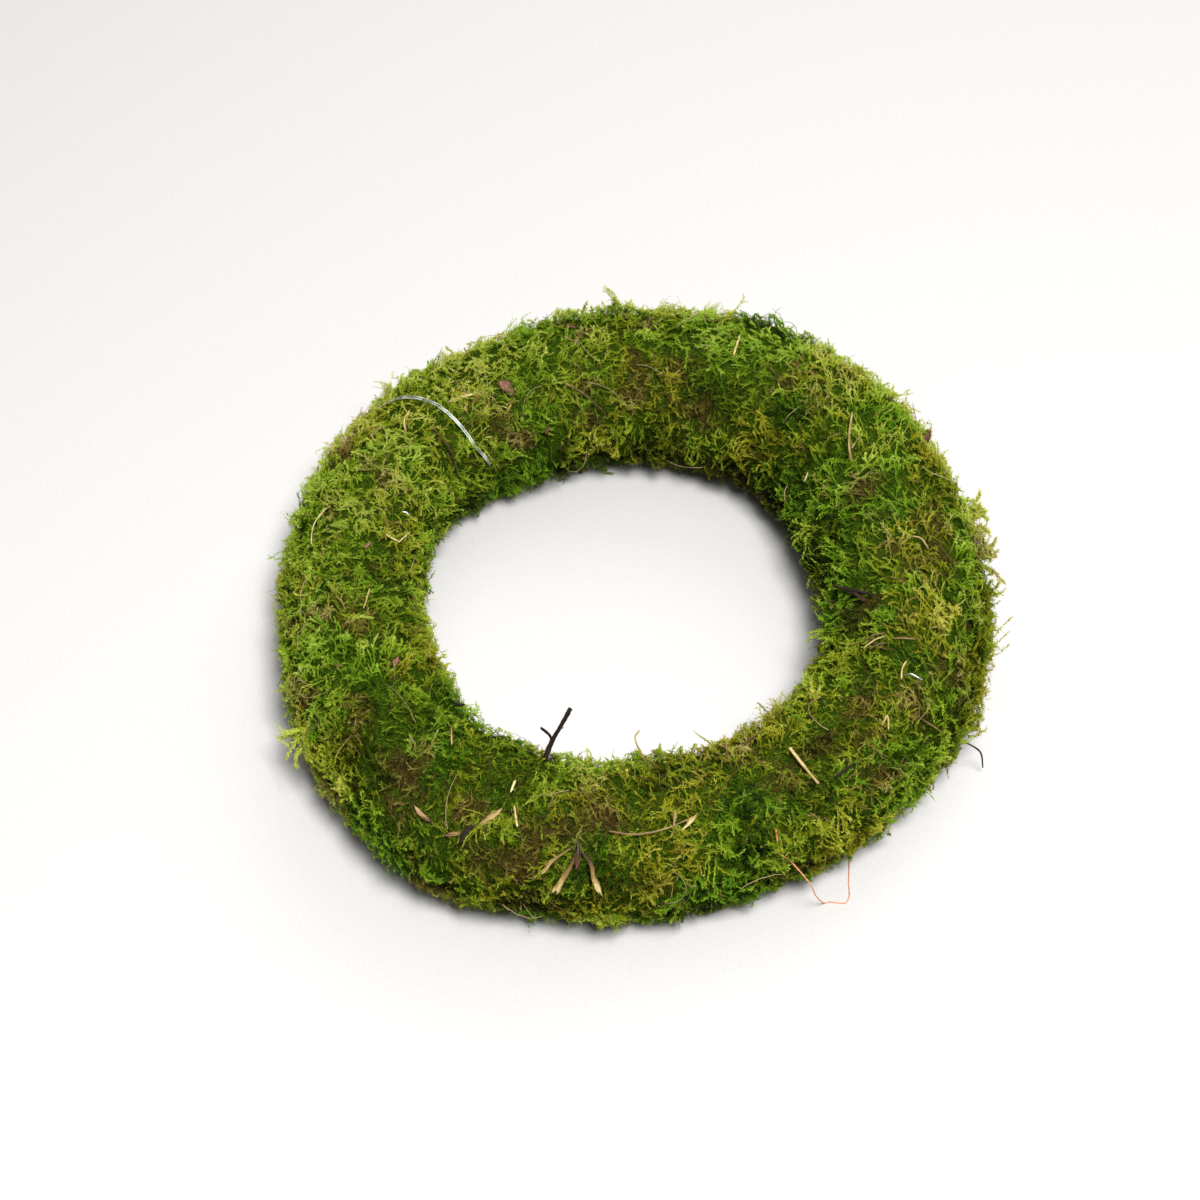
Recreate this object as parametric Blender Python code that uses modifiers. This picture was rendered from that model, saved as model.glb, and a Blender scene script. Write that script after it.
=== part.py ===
"""Moss wreath, lying flat.

A ring of straw carries twelve handfuls of moss, laid on it one after another and bound on with
one nylon thread. Dry grass, twigs, bark and leaf scraps came in with the moss and are caught in it.
Metres, +Z up. The origin is the middle of the wreath on the table, and -Y is its front.

A place on the moss is given by two angles in degrees. theta runs round the wreath, from +X
towards +Y. phi runs round the moss tube: 0 faces outwards, 90 up, 180 into the hole and -90 down.
"""

import math
import random

import bmesh
import bpy
from mathutils import Vector

MM = 0.001
SEED = 11

# The ring, the moss tube at the tips of its tufts, and the straw inside it.
# One side of the moss is plumper than the other, so the ring's own middle is beside the origin.
RING_R = 116 * MM
RING_MIDDLE = (-3.9 * MM, 0.9 * MM, 0)
MOSS_R = 34.1 * MM
STRAW_R = 21.5 * MM
STRAW_SIDES = (36, 10)
SETTLED = 1.5 * MM
GAP = 0.3 * MM

# How far from round and even the ring is: (waves round it, their height, where the first crest is).
STRAW_OVAL = (2, 2.4 * MM, 81.3)
MOSS_WAVES = ((3, 0.7 * MM, 2.0), (4, 2.4 * MM, -30.4))
PLUMPNESS = ((1, 2.3 * MM, 28.5), (2, 1.5 * MM, 45.3), (3, 0.9 * MM, -5.8))

# The moss: its pads, and the skin that its tufts rise from, in cells.
PADS = 12
PAD_SPAN = 360 / PADS
SEAM_SLANT = math.radians(20)
COLUMNS = 9
ROWS = 24
SKIN_DEPTH = 2.0 * MM
HOLLOW_DEPTH = 2.2 * MM
ROUGHNESS = 0.9 * MM
CELL_JITTER = 0.15

# Tufts, and which way they lie on each pad, from along the ring (0) to round the tube (90).
TUFT_HEIGHT = (1.4 * MM, 5.2 * MM)
TUFT_LEAN = 0.34
TUFT_STRAY = 35
PAD_LAY = (80, 20, 65, 110, 150, 95, 75, 100, 40, 150, 25, 120)

# Sprigs. Each narrows at two sections: (share of its length, width there over SPRIG_WIDTH).
SPRIGS_PER_PAD = 8
SPRIG_LENGTH = (5.5 * MM, 9.0 * MM)
SPRIG_LENGTH_IN_HOLE = 5.0 * MM
SPRIG_WIDTH = 0.75 * MM
SPRIG_SECTIONS = ((0.25, 1.5), (0.65, 1.0))
SPRIG_REACH = 0.95
HOLE_SIDE = 55
UPPER_SIDE = 130

# Sprigs that stand well clear: (theta, phi, length in mm, lean along the ring, lean up the tube).
LONG_SPRIGS = (
    (74, 52, 14, 0.5, 0.2),
    (90, 50, 13, -0.2, 0.3),
    (97, 48, 10, 0.3, 0.5),
    (128, 50, 11, -0.6, 0.2),
    (140, 40, 12, 0.2, 0.6),
    (39, 42, 11, 0.7, 0.4),
    (27, 34, 9, 0.2, 0.6),
    (8, 20, 10, -0.8, 0.2),
    (348, 4, 13, 0.4, 0.4),
    (341, 172, 10, 0.2, 0.5),
    (23, 160, 10, 0.2, 0.5),
    (211, 6, 14, 0.5, -0.5),
    (244, 130, 9, 0.4, 0.4),
    (290, 140, 9, -0.3, 0.5),
    (307, 140, 9, 0.2, 0.6),
    (327, 10, 9, 0.3, -0.4),
)

# Three flat feet under the moss, and how far off the table the rest of it and the thread stay.
FEET = (79.6, 195.5, 302.0)
FOOT_THETA = 5.0
FOOT_PHI = 16.0
MOSS_OFF_TABLE = 1.2 * MM
FURROW_OFF_TABLE = 2.8 * MM
THREAD_OFF_TABLE = 1.6 * MM

# The binding: evenly wound turns, with one more turn laid close beside the first.
TURNS = 13
THREAD_R = 0.35 * MM
THREAD_START = 143.0
SPARE_STEP = 1.3
TURN_STEP = (360 - SPARE_STEP) / TURNS
POINTS_PER_TURN = 20
SLACK = 1.8 * MM
FURROW_EDGE = 0.6
FURROW_HALF = 4.5

GREEN = (0.16, 0.27, 0.03)
OLIVE = (0.20, 0.23, 0.05)
DRY_STRAW = (0.55, 0.42, 0.20)
PALE_STRAW = (0.62, 0.52, 0.30)
BARK = (0.16, 0.10, 0.06)
DEAD_LEAF = (0.30, 0.16, 0.09)
CLEAR_NYLON = (0.80, 0.83, 0.80)
ORANGE = (0.75, 0.20, 0.05)

# Flat scraps: name, colour, width in mm, and the places (theta, phi, lift in mm) that each passes.
SCRAP_THICKNESS = 0.7 * MM
SCRAP_END_WIDTH = 0.55
SCRAPS = (
    ("dry_grass_1", DRY_STRAW, 2.6,
     ((261.3, 50, 0.4), (261.1, 41, 0.6), (260.5, 30, 1.0), (259.9, 19, 2.2))),
    ("dry_grass_2", PALE_STRAW, 1.6, ((259.2, 52, 0.4), (258.6, 41, 0.6), (257.8, 32, 1.2))),
    ("dry_grass_3", DEAD_LEAF, 1.8, ((262.9, 54, 0.4), (263.0, 46, 0.6), (263.1, 38, 1.1))),
    ("dry_grass_4", DRY_STRAW, 2.2, ((264.6, 44, 0.4), (265.4, 33, 0.7), (266.4, 21, 1.8))),
    ("straw_bit_1", PALE_STRAW, 1.2, ((138.8, 84, 0.4), (141.4, 88, 0.7), (143.6, 97, 0.4))),
    ("straw_bit_2", PALE_STRAW, 1.3, ((132.0, 101, 0.4), (129.2, 103, 0.8), (125.6, 107, 0.4))),
    ("bark_chip_1", BARK, 2.4, ((236.4, 46, 0.4), (238.0, 44, 0.9), (239.7, 43, 0.4))),
    ("bark_chip_2", DEAD_LEAF, 2.8, ((249.5, 68, 1.5), (248.3, 61, 1.9), (247.0, 54, 0.8))),
    ("bark_chip_3", BARK, 1.9, ((242.2, 40, 0.4), (243.3, 43, 0.8), (244.8, 46, 0.4))),
    ("bark_strip", DEAD_LEAF, 1.6, ((334.8, 119, 0.4), (334.0, 107, 0.5), (333.2, 96, 0.4))),
    ("leaf_scrap_1", DEAD_LEAF, 5.0, ((119.6, 106, 0.5), (119.0, 113, 1.2), (118.2, 120, 0.5))),
    ("leaf_scrap_2", DEAD_LEAF, 4.0, ((8.6, 22, 0.5), (7.2, 16, 1.8), (5.8, 9, 3.8))),
    ("leaf_scrap_3", BARK, 3.2, ((25.2, 50, 0.5), (26.6, 44, 1.6), (28.4, 38, 3.2))),
)

# Thin stems: name, colour, radii in mm at the root and at the tip, and the places of each.
STEMS = (
    ("grass_stem_1", PALE_STRAW, 0.7, 0.5,
     ((303.2, 92, 1.8), (303.2, 80, 1.8), (303.4, 69, 1.8), (303.8, 59, 1.8))),
    ("grass_stem_2", OLIVE, 0.6, 0.4,
     ((267.3, 63, 0.4), (271.5, 60, 0.8), (276.0, 61, 1.8), (281.2, 66, 0.4))),
    ("inner_twig", BARK, 0.9, 0.5,
     ((344.4, 120, 0.4), (347.0, 129, 0.8), (349.6, 138, 1.4), (351.8, 145, 2.6))),
    ("rootlet", BARK, 0.4, 0.3,
     ((332.2, -6, 0.4), (333.4, -12, 4.0), (334.9, -22, 10.0), (335.6, -34, 17.0))),
    ("tendril", PALE_STRAW, 0.4, 0.3,
     ((274.6, 130, 0.4), (273.4, 134, 4.5), (272.4, 139, 9.0), (273.6, 141, 11.5))),
)

# The forked twig: where it stands, and its joints as offsets from there in millimetres.
TWIG_FOOT = (252.8, 125)
TWIG_FOOT_LIFT = 0.6 * MM
TWIG_STEM = ((0, 0, 0), (2.5, 2.5, 7), (6.5, 4.5, 15.5), (9.5, 6.5, 22.0))
TWIG_BRANCH = ((2.4, 2.4, 6.7), (1.4, 2.8, 10.5), (-1.6, 3.4, 14.0))
TWIG_R = 0.95 * MM
BRANCH_R = 0.6 * MM

# The orange thread: down over the moss, through the air to the table and back in under the moss.
# The table's points are (x, y), and the others that aren't places (x, y, z), all in millimetres.
ORANGE_R = 0.25 * MM
ORANGE_REST = 0.33 * MM
ORANGE_SPACING = 1.4 * MM
ORANGE_ON_MOSS = ((294.4, 41), (294.1, 31), (294.2, 21), (295.6, 12))
ORANGE_IN_AIR = ((69.8, -134.3, 28), (73.4, -131.6, 14))
ORANGE_ON_TABLE = (
    (77.6, -126.0), (81.6, -125.6), (85.6, -126.0), (87.4, -122.6), (87.4, -117.0), (87.8, -111.0)
)
ORANGE_BACK_IN = ((88.4, -106.0, 2.4), (88.4, -103.0, 5.6))
ORANGE_LAST_PLACE = (310.6, -54)

# Round these places the moss is pressed flat by what lies on it: half the patch's size.
PRESSED_THETA = 2.7
PRESSED_PHI = 9.5


def waves(theta, *terms):
    """The sum at theta of waves round the ring, each given as (count, height, first crest)."""
    return sum(height * math.cos(math.radians(count * (theta - crest))) for count, height, crest in terms)


def moss_middle(theta):
    """Distance from the ring's axis to the middle of the moss."""
    return RING_R + waves(theta, STRAW_OVAL, *MOSS_WAVES)


def moss_radius(theta):
    """Radius of the moss tube at the tips of its tufts."""
    return MOSS_R + waves(theta, *PLUMPNESS)


def hollow(theta, phi):
    """How far the skin dips here, between the thicker clumps of moss."""
    clumps = math.sin(math.radians(11 * theta + 2 * phi)) + math.sin(math.radians(3 * phi - 7 * theta))
    return HOLLOW_DEPTH * (2 - clumps) / 4


def round_ring(theta, out, height):
    """The point at angle theta, that far from the ring's axis and that high."""
    angle = math.radians(theta)
    return Vector((out * math.cos(angle), out * math.sin(angle), height))


def moss_point(theta, phi, lift=0.0):
    """A point at lift above the moss's skin. The skin lies under the tufts."""
    reach = moss_radius(theta) - SKIN_DEPTH - hollow(theta, phi) + lift
    out = moss_middle(theta) + reach * math.cos(math.radians(phi))
    height = moss_radius(theta) - SETTLED + reach * math.sin(math.radians(phi))
    return round_ring(theta, out, height)


def tube_directions(theta, phi):
    """Unit directions at a place on the moss: out of it, along the ring and up round the tube."""
    a, b = math.radians(theta), math.radians(phi)
    outwards = Vector((math.cos(a) * math.cos(b), math.sin(a) * math.cos(b), math.sin(b)))
    along = Vector((-math.sin(a), math.cos(a), 0))
    around = Vector((-math.cos(a) * math.sin(b), -math.sin(a) * math.sin(b), math.cos(b)))
    return outwards, along, around


def turn_from(a, b):
    """The angle from direction a to direction b, between -180 and 180."""
    return (b - a + 180) % 360 - 180


def apart(a, b):
    """The unsigned angle between two directions."""
    return abs(turn_from(a, b))


def mean_angle(angles):
    """The middle direction of several that lie near each other."""
    east = sum(math.cos(math.radians(angle)) for angle in angles)
    north = sum(math.sin(math.radians(angle)) for angle in angles)
    return math.degrees(math.atan2(north, east))


def thread_theta(phi_total):
    """Where the thread is round the ring once it has turned phi_total degrees round the tube."""
    turned = phi_total / 360
    if turned <= 1:
        return THREAD_START - SPARE_STEP * turned - TURN_STEP * min(turned, 1 - turned)
    return THREAD_START - SPARE_STEP - TURN_STEP * (turned - 1)


def thread_offset(theta, phi):
    """How far round the ring this place is from the nearest turn of thread, with a sign."""
    crossings = (thread_theta(360 * turn + phi % 360) for turn in range(TURNS + 1))
    return min((turn_from(crossing, theta) for crossing in crossings), key=abs)


def near_thread(theta, phi):
    """Whether this place is in the furrow that the thread presses into the moss."""
    return abs(thread_offset(theta, phi)) < FURROW_HALF


def under_thread(corners):
    """Whether the thread runs over or right beside the cell with these corners."""
    offsets = [thread_offset(theta, phi) for theta, phi in corners]
    astride = min(offsets) < 0 < max(offsets) and max(offsets) - min(offsets) < 2 * FURROW_HALF
    return astride or min(abs(offset) for offset in offsets) < FURROW_EDGE


def under_litter(theta, phi):
    """Whether this place is under a scrap, a stem, the twig's foot or the orange thread."""
    pressed = [place[:2] for *_, places in SCRAPS + STEMS for place in places]
    pressed += [*ORANGE_ON_MOSS, ORANGE_LAST_PLACE, TWIG_FOOT]
    return any(apart(theta, t) < PRESSED_THETA and apart(phi, p) < PRESSED_PHI for t, p in pressed)


def on_foot(theta, phi):
    """Whether this place is on one of the three flat feet."""
    return apart(phi, -90) <= FOOT_PHI and any(apart(theta, foot) <= FOOT_THETA for foot in FEET)


def clear_of_table(point, theta, phi):
    """The point, raised off the table and the thread, or set on the table if it is on a foot."""
    if on_foot(theta, phi):
        point.z = 0.0
    else:
        point.z = max(point.z, FURROW_OFF_TABLE if near_thread(theta, phi) else MOSS_OFF_TABLE)
    return point


def material(name, colour, roughness):
    """A plain material of that colour."""
    made = bpy.data.materials.new(name)
    made.use_nodes = True
    shader = made.node_tree.nodes["Principled BSDF"]
    shader.inputs["Base Color"].default_value = (*colour, 1)
    shader.inputs["Roughness"].default_value = roughness
    shader.inputs["Metallic"].default_value = 0.0
    made.diffuse_color = (*colour, 1)
    return made


def new_object(name, data, collection, colour, roughness=0.9):
    """An object of that mesh or curve, in its own material."""
    made = bpy.data.objects.new(name, data)
    data.materials.append(material(name, colour, roughness))
    collection.objects.link(made)
    return made


def wire(name, points, radius, rounding, collection, colour, taper=None, cyclic=False):
    """A round rod through the points, as a curve with filled caps."""
    curve = bpy.data.curves.new(name, "CURVE")
    curve.dimensions = "3D"
    curve.bevel_depth = radius
    curve.bevel_resolution = rounding
    curve.use_fill_caps = not cyclic
    spline = curve.splines.new("POLY")
    spline.points.add(len(points) - 1)
    spline.use_cyclic_u = cyclic
    for index, (target, point) in enumerate(zip(spline.points, points)):
        target.co = (*point, 1)
        target.radius = taper[index] if taper else 1
    return new_object(name, curve, collection, colour, 0.6)


def straw_ring(name, tube_r, collection):
    """The straw ring's body, or with a wider tube the room that the moss leaves for it."""
    segments, sides = STRAW_SIDES
    bpy.ops.mesh.primitive_torus_add(
        major_segments=segments, minor_segments=sides, major_radius=RING_R, minor_radius=tube_r
    )
    ring = bpy.context.object
    ring.name = name
    for vert in ring.data.vertices:
        theta = math.degrees(math.atan2(vert.co.y, vert.co.x))
        out = math.hypot(vert.co.x, vert.co.y) + waves(theta, STRAW_OVAL)
        vert.co = round_ring(theta, out, vert.co.z + MOSS_R - SETTLED)
    ring.data.shade_smooth()
    ring.data.materials.append(material(name, DRY_STRAW, 0.9))
    for old in ring.users_collection:
        old.objects.unlink(ring)
    collection.objects.link(ring)
    return ring


def seam_theta(seam, side, out, height):
    """The angle at which a point meets a seam between two pads. Seams are flat and slanting."""
    shift = side * GAP / 2 + height * math.sin(SEAM_SLANT)
    return seam + math.degrees(math.asin(shift / (out * math.cos(SEAM_SLANT))))


def seams_beside(pad, point):
    """How far from the axis a point is, and where its pad starts and ends at that point."""
    out = math.hypot(point.x, point.y)
    height = point.z - MOSS_R + SETTLED
    first = seam_theta((pad - 0.5) * PAD_SPAN, 1, out, height)
    last = seam_theta((pad + 0.5) * PAD_SPAN, -1, out, height)
    return out, first, last


def slanted_theta(pad, share, phi):
    """Nearly the angle round the ring of a place on a pad, at that share of the pad's length."""
    slant = math.degrees(math.tan(SEAM_SLANT) * MOSS_R / RING_R)
    return (pad - 0.5 + share) * PAD_SPAN + slant * math.sin(math.radians(phi))


def pad_place(pad, share, phi, sink):
    """The point on a pad's skin at a share of the pad's length, with its theta."""
    nearly = slanted_theta(pad, share, phi)
    point = clear_of_table(moss_point(nearly, phi, -sink), nearly, phi)
    out, first, last = seams_beside(pad, point)
    theta = first + (last - first) * share
    return round_ring(theta, out, point.z), theta


def kept_in_pad(pad, point):
    """The point, moved along the ring if it would reach over a seam into the next pad."""
    out, first, last = seams_beside(pad, point)
    middle = pad * PAD_SPAN
    theta = middle + turn_from(middle, math.degrees(math.atan2(point.y, point.x)))
    return round_ring(min(max(theta, first), last), out, point.z)


def cell_size(face, direction):
    """How far a cell of the skin reaches in a direction."""
    reach = [vert.co.dot(direction) for vert in face.verts]
    return max(reach) - min(reach)


def grow_tuft(bm, cell, pad, lay, height):
    """Raises the middle of a cell into a tuft that leans the way the pad's shoots lie."""
    face, theta, phi = cell
    outwards, along, around = tube_directions(theta, phi)
    lean_along = TUFT_LEAN * math.cos(math.radians(lay)) * cell_size(face, along)
    lean_around = TUFT_LEAN * math.sin(math.radians(lay)) * cell_size(face, around)
    tip = bmesh.ops.poke(bm, faces=[face])["verts"][0]
    tip.co += outwards * height + along * lean_along + around * lean_around
    tip.co = kept_in_pad(pad, clear_of_table(tip.co, theta, phi))


def grow_sprig(bm, cell, pad, length, lean_along, lean_up):
    """Draws a cell out into a tapering, bowed sprig of moss."""
    face, theta, phi = cell
    outwards, along, around = tube_directions(theta, phi)
    foot = face.calc_center_median()
    corners = [(vert.co - foot).normalized() for vert in face.verts]
    lean = along * lean_along + around * lean_up
    for share, width in SPRIG_SECTIONS:
        face = bmesh.ops.extrude_discrete_faces(bm, faces=[face])["faces"][0]
        middle = foot + length * (outwards * share + lean * share**2)
        for vert, corner in zip(face.verts, corners):
            vert.co = kept_in_pad(pad, middle + corner * SPRIG_WIDTH * width)
    tip = bmesh.ops.poke(bm, faces=[face])["verts"][0]
    tip.co = kept_in_pad(pad, foot + length * (outwards * SPRIG_REACH + lean))


def pad_skin(bm, pad, rng):
    """Makes a pad's skin, a capped cylinder bent round its stretch of the ring.

    Returns the place (theta, phi) of each of its corners.
    """
    bmesh.ops.create_cone(bm, cap_ends=True, segments=ROWS, radius1=1, radius2=1, depth=1)
    lengthwise = [edge for edge in bm.edges if abs(edge.verts[0].co.z - edge.verts[1].co.z) > 0.5]
    bmesh.ops.subdivide_edges(bm, edges=lengthwise, cuts=COLUMNS - 1)
    places = {}
    for vert in bm.verts:
        share = vert.co.z + 0.5
        column = round(share * COLUMNS)
        phi = math.degrees(math.atan2(vert.co.y, vert.co.x)) + (column % 2) * 180 / ROWS
        nearly = slanted_theta(pad, share, phi)
        sink = 0.0
        if 0 < column < COLUMNS and not on_foot(nearly, phi):
            share += rng.uniform(-CELL_JITTER, CELL_JITTER) / COLUMNS
            phi += rng.uniform(-CELL_JITTER, CELL_JITTER) * 360 / ROWS
            if not near_thread(nearly, phi) and not under_litter(nearly, phi):
                sink = rng.uniform(0, ROUGHNESS)
        vert.co, theta = pad_place(pad, share, phi, sink)
        places[vert] = (theta, phi)
    return places


def free_cells(bm, places):
    """The cells of a pad's skin that nothing presses on, each as (face, theta, phi)."""
    cells = []
    for face in bm.faces:
        if len(face.verts) != 4:
            continue
        corners = [places[vert] for vert in face.verts]
        theta, phi = (mean_angle(angles) for angles in zip(*corners))
        flat = all(on_foot(*corner) for corner in corners)
        if not (flat or under_thread(corners) or under_litter(theta, phi)):
            cells.append((face, theta, phi))
    return cells


def long_sprig(theta, phi):
    """The length and leans of the long sprig that rises from the cell here, if one does."""
    for sprig_theta, sprig_phi, length, *leans in LONG_SPRIGS:
        along = apart(theta, sprig_theta) < PAD_SPAN / COLUMNS / 2
        if along and apart(phi, sprig_phi) < 360 / ROWS / 2:
            return (length * MM, *leans)
    return None


def has_room(pad, theta, phi):
    """Whether a sprig here would stay clear of the table, the thread and the next pads."""
    in_pad = apart(theta, slanted_theta(pad, 0.5, phi)) < PAD_SPAN / 3
    return in_pad and apart(phi, 90) < UPPER_SIDE and not near_thread(theta, phi)


def short_sprigs(cells, pad, rng):
    """Short sprigs for some of a pad's cells, by the cell's number: length and leans."""
    roomy = [number for number, cell in enumerate(cells) if has_room(pad, *cell[1:])]
    sprigs = {}
    for number in rng.sample(roomy, SPRIGS_PER_PAD):
        in_hole = apart(cells[number][2], 180) < HOLE_SIDE
        length = SPRIG_LENGTH_IN_HOLE if in_hole else rng.uniform(*SPRIG_LENGTH)
        sprigs[number] = (length, rng.uniform(-0.5, 0.5), rng.uniform(-0.3, 0.5))
    return sprigs


def moss_pad(pad, straw_room, collection):
    """One handful of moss: its skin, grown over with tufts and sprigs, and bored for the straw."""
    rng = random.Random(SEED + pad)
    bm = bmesh.new()
    places = pad_skin(bm, pad, rng)
    cells = free_cells(bm, places)
    sprigs = short_sprigs(cells, pad, rng)
    for number, cell in enumerate(cells):
        lay = PAD_LAY[pad] + rng.uniform(-TUFT_STRAY, TUFT_STRAY)
        height = TUFT_HEIGHT[0] + (TUFT_HEIGHT[1] - TUFT_HEIGHT[0]) * rng.random() ** 1.6
        sprig = long_sprig(*cell[1:]) or sprigs.get(number)
        if sprig:
            grow_sprig(bm, cell, pad, *sprig)
        else:
            grow_tuft(bm, cell, pad, lay, height)
    bmesh.ops.recalc_face_normals(bm, faces=bm.faces)
    mesh = bpy.data.meshes.new(f"moss_pad_{pad + 1:02d}")
    bm.to_mesh(mesh)
    bm.free()
    made = new_object(mesh.name, mesh, collection, GREEN if pad % 2 else OLIVE, 0.95)
    bore = made.modifiers.new("room_for_straw", "BOOLEAN")
    bore.object = straw_room
    bore.operation = "DIFFERENCE"
    bore.solver = "EXACT"
    return made


def thread_lift(phi_total):
    """How high the thread's corners stand, so that its straight runs still clear the moss.

    Where two turns lie side by side on top, they are slack and stand a little higher.
    """
    sag = MOSS_R * (1 / math.cos(math.pi / POINTS_PER_TURN) - 1)
    slack = SLACK * max(0, math.sin(math.radians(phi_total))) if phi_total < 540 else 0
    return GAP + THREAD_R + sag + slack


def binding_thread(collection):
    """The nylon thread, wound round the moss from one pad to the next and back to its start."""
    points = []
    for index in range(POINTS_PER_TURN * (TURNS + 1)):
        phi = index * 360 / POINTS_PER_TURN
        point = moss_point(thread_theta(phi), phi, thread_lift(phi))
        point.z = max(point.z, THREAD_OFF_TABLE)
        points.append(point)
    return wire("binding_thread", points, THREAD_R, 0, collection, CLEAR_NYLON, cyclic=True)


def scrap(name, colour, width, places, collection):
    """A flat scrap of grass, bark or leaf, lying on the moss: a strip with a thickness."""
    bm = bmesh.new()
    last = len(places) - 1
    bmesh.ops.create_grid(bm, x_segments=last, y_segments=1, size=1)
    for vert in bm.verts:
        share = (vert.co.x + 1) / 2
        index = round(share * last)
        theta, phi, lift = places[index]
        before, after = places[max(index - 1, 0)], places[min(index + 1, last)]
        run = moss_point(*after[:2]) - moss_point(*before[:2])
        side = run.cross(tube_directions(theta, phi)[0]).normalized()
        swell = math.sin(math.pi * min(1, share + 0.25))
        half = width * MM / 2 * (SCRAP_END_WIDTH + (1 - SCRAP_END_WIDTH) * swell)
        vert.co = moss_point(theta, phi, lift * MM + SCRAP_THICKNESS / 2) + side * half * vert.co.y
    mesh = bpy.data.meshes.new(name)
    bm.to_mesh(mesh)
    bm.free()
    made = new_object(name, mesh, collection, colour, 0.8)
    thick = made.modifiers.new("thickness", "SOLIDIFY")
    thick.thickness = SCRAP_THICKNESS
    thick.offset = 0
    return made


def stem(name, colour, root_r, tip_r, places, collection):
    """A thin stem, root or twig that follows its places over the moss and tapers to its tip."""
    last = len(places) - 1
    taper = [1 + (tip_r / root_r - 1) * index / last for index in range(last + 1)]
    points = [moss_point(theta, phi, (lift + root_r) * MM) for theta, phi, lift in places]
    return wire(name, points, root_r * MM, 1, collection, colour, taper=taper)


def as_mesh(curve_object, collection):
    """The curve object made a mesh object of the same name, with its caps welded."""
    graph = bpy.context.evaluated_depsgraph_get()
    mesh = bpy.data.meshes.new_from_object(curve_object.evaluated_get(graph))
    bm = bmesh.new()
    bm.from_mesh(mesh)
    bmesh.ops.remove_doubles(bm, verts=bm.verts, dist=0.01 * MM)
    bm.to_mesh(mesh)
    bm.free()
    name, matrix = curve_object.name, curve_object.matrix_world.copy()
    bpy.data.objects.remove(curve_object)
    made = bpy.data.objects.new(name, mesh)
    made.matrix_world = matrix
    collection.objects.link(made)
    return made


def forked_twig(collection, helpers):
    """A dead twig with one side branch, standing up from the moss at the edge of the hole."""
    foot = moss_point(*TWIG_FOOT, TWIG_FOOT_LIFT)
    trunk_points = [foot + Vector(joint) * MM for joint in TWIG_STEM]
    branch_points = [foot + Vector(joint) * MM for joint in TWIG_BRANCH]
    trunk = as_mesh(wire("forked_twig", trunk_points, TWIG_R, 1, collection, BARK), collection)
    branch = as_mesh(wire("twig_branch", branch_points, BRANCH_R, 1, helpers, BARK), helpers)
    branch.hide_render = True
    branch.display_type = "WIRE"
    fork = trunk.modifiers.new("fork", "BOOLEAN")
    fork.object = branch
    fork.operation = "UNION"
    fork.solver = "EXACT"
    return trunk


def smooth_route(corners, spacing):
    """Points about that far apart on a smooth curve through the corners."""
    padded = [2 * corners[0] - corners[1], *corners, 2 * corners[-1] - corners[-2]]
    route = []
    for before, start, end, after in zip(padded, padded[1:], padded[2:], padded[3:]):
        count = max(2, round((end - start).length / spacing))
        slope = end - before
        bend = 2 * before - 5 * start + 4 * end - after
        twist = 3 * start - before - 3 * end + after
        for index in range(count):
            t = index / count
            route.append(start + (slope * t + bend * t**2 + twist * t**3) / 2)
    return [*route, corners[-1]]


def orange_thread(collection):
    """A loose end of orange thread that hangs out of the moss in a narrow loop."""
    corners = [moss_point(theta, phi, GAP + 2 * ORANGE_R) for theta, phi in ORANGE_ON_MOSS]
    corners += [Vector(point) * MM for point in ORANGE_IN_AIR]
    corners += [Vector((x * MM, y * MM, ORANGE_REST)) for x, y in ORANGE_ON_TABLE]
    corners += [Vector(point) * MM for point in ORANGE_BACK_IN]
    route = smooth_route(corners, ORANGE_SPACING)
    for point in route:
        point.z = max(point.z, ORANGE_REST)
    return wire("orange_thread", route, ORANGE_R, 2, collection, ORANGE)


def main():
    for old in list(bpy.data.objects):
        bpy.data.objects.remove(old)
    wreath = bpy.data.collections.new("moss_wreath")
    helpers = bpy.data.collections.new("cutters")
    bpy.context.scene.collection.children.link(wreath)
    bpy.context.scene.collection.children.link(helpers)
    straw_ring("straw_ring", STRAW_R, wreath)
    straw_room = straw_ring("straw_room", STRAW_R + GAP, helpers)
    straw_room.hide_render = True
    straw_room.display_type = "WIRE"
    for pad in range(PADS):
        moss_pad(pad, straw_room, wreath)
    binding_thread(wreath)
    for name, colour, width, places in SCRAPS:
        scrap(name, colour, width, places, wreath)
    for name, colour, root_r, tip_r, places in STEMS:
        stem(name, colour, root_r, tip_r, places, wreath)
    forked_twig(wreath, helpers)
    orange_thread(wreath)
    for made in (*wreath.objects, *helpers.objects):
        made.location = RING_MIDDLE


main()
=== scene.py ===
"""The looks of a moss wreath that lies flat on a pale table.

Each handful of moss is a dark mat with more than a thousand leafy, branching strands laid into it,
all real mesh. Between them lie the nylon thread that binds the wreath, and the dry grass, bark and
leaves that came in with the moss.

A place on the moss is (theta, phi, lift). theta runs round the wreath from +X towards +Y, and phi
round the moss tube: 0 faces outwards, 90 up, 180 into the hole and -90 down, both in degrees. lift
is the height over the moss's skin. Lists of places give it in millimetres, and arrays in metres.
"""

import math
from dataclasses import dataclass

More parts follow.
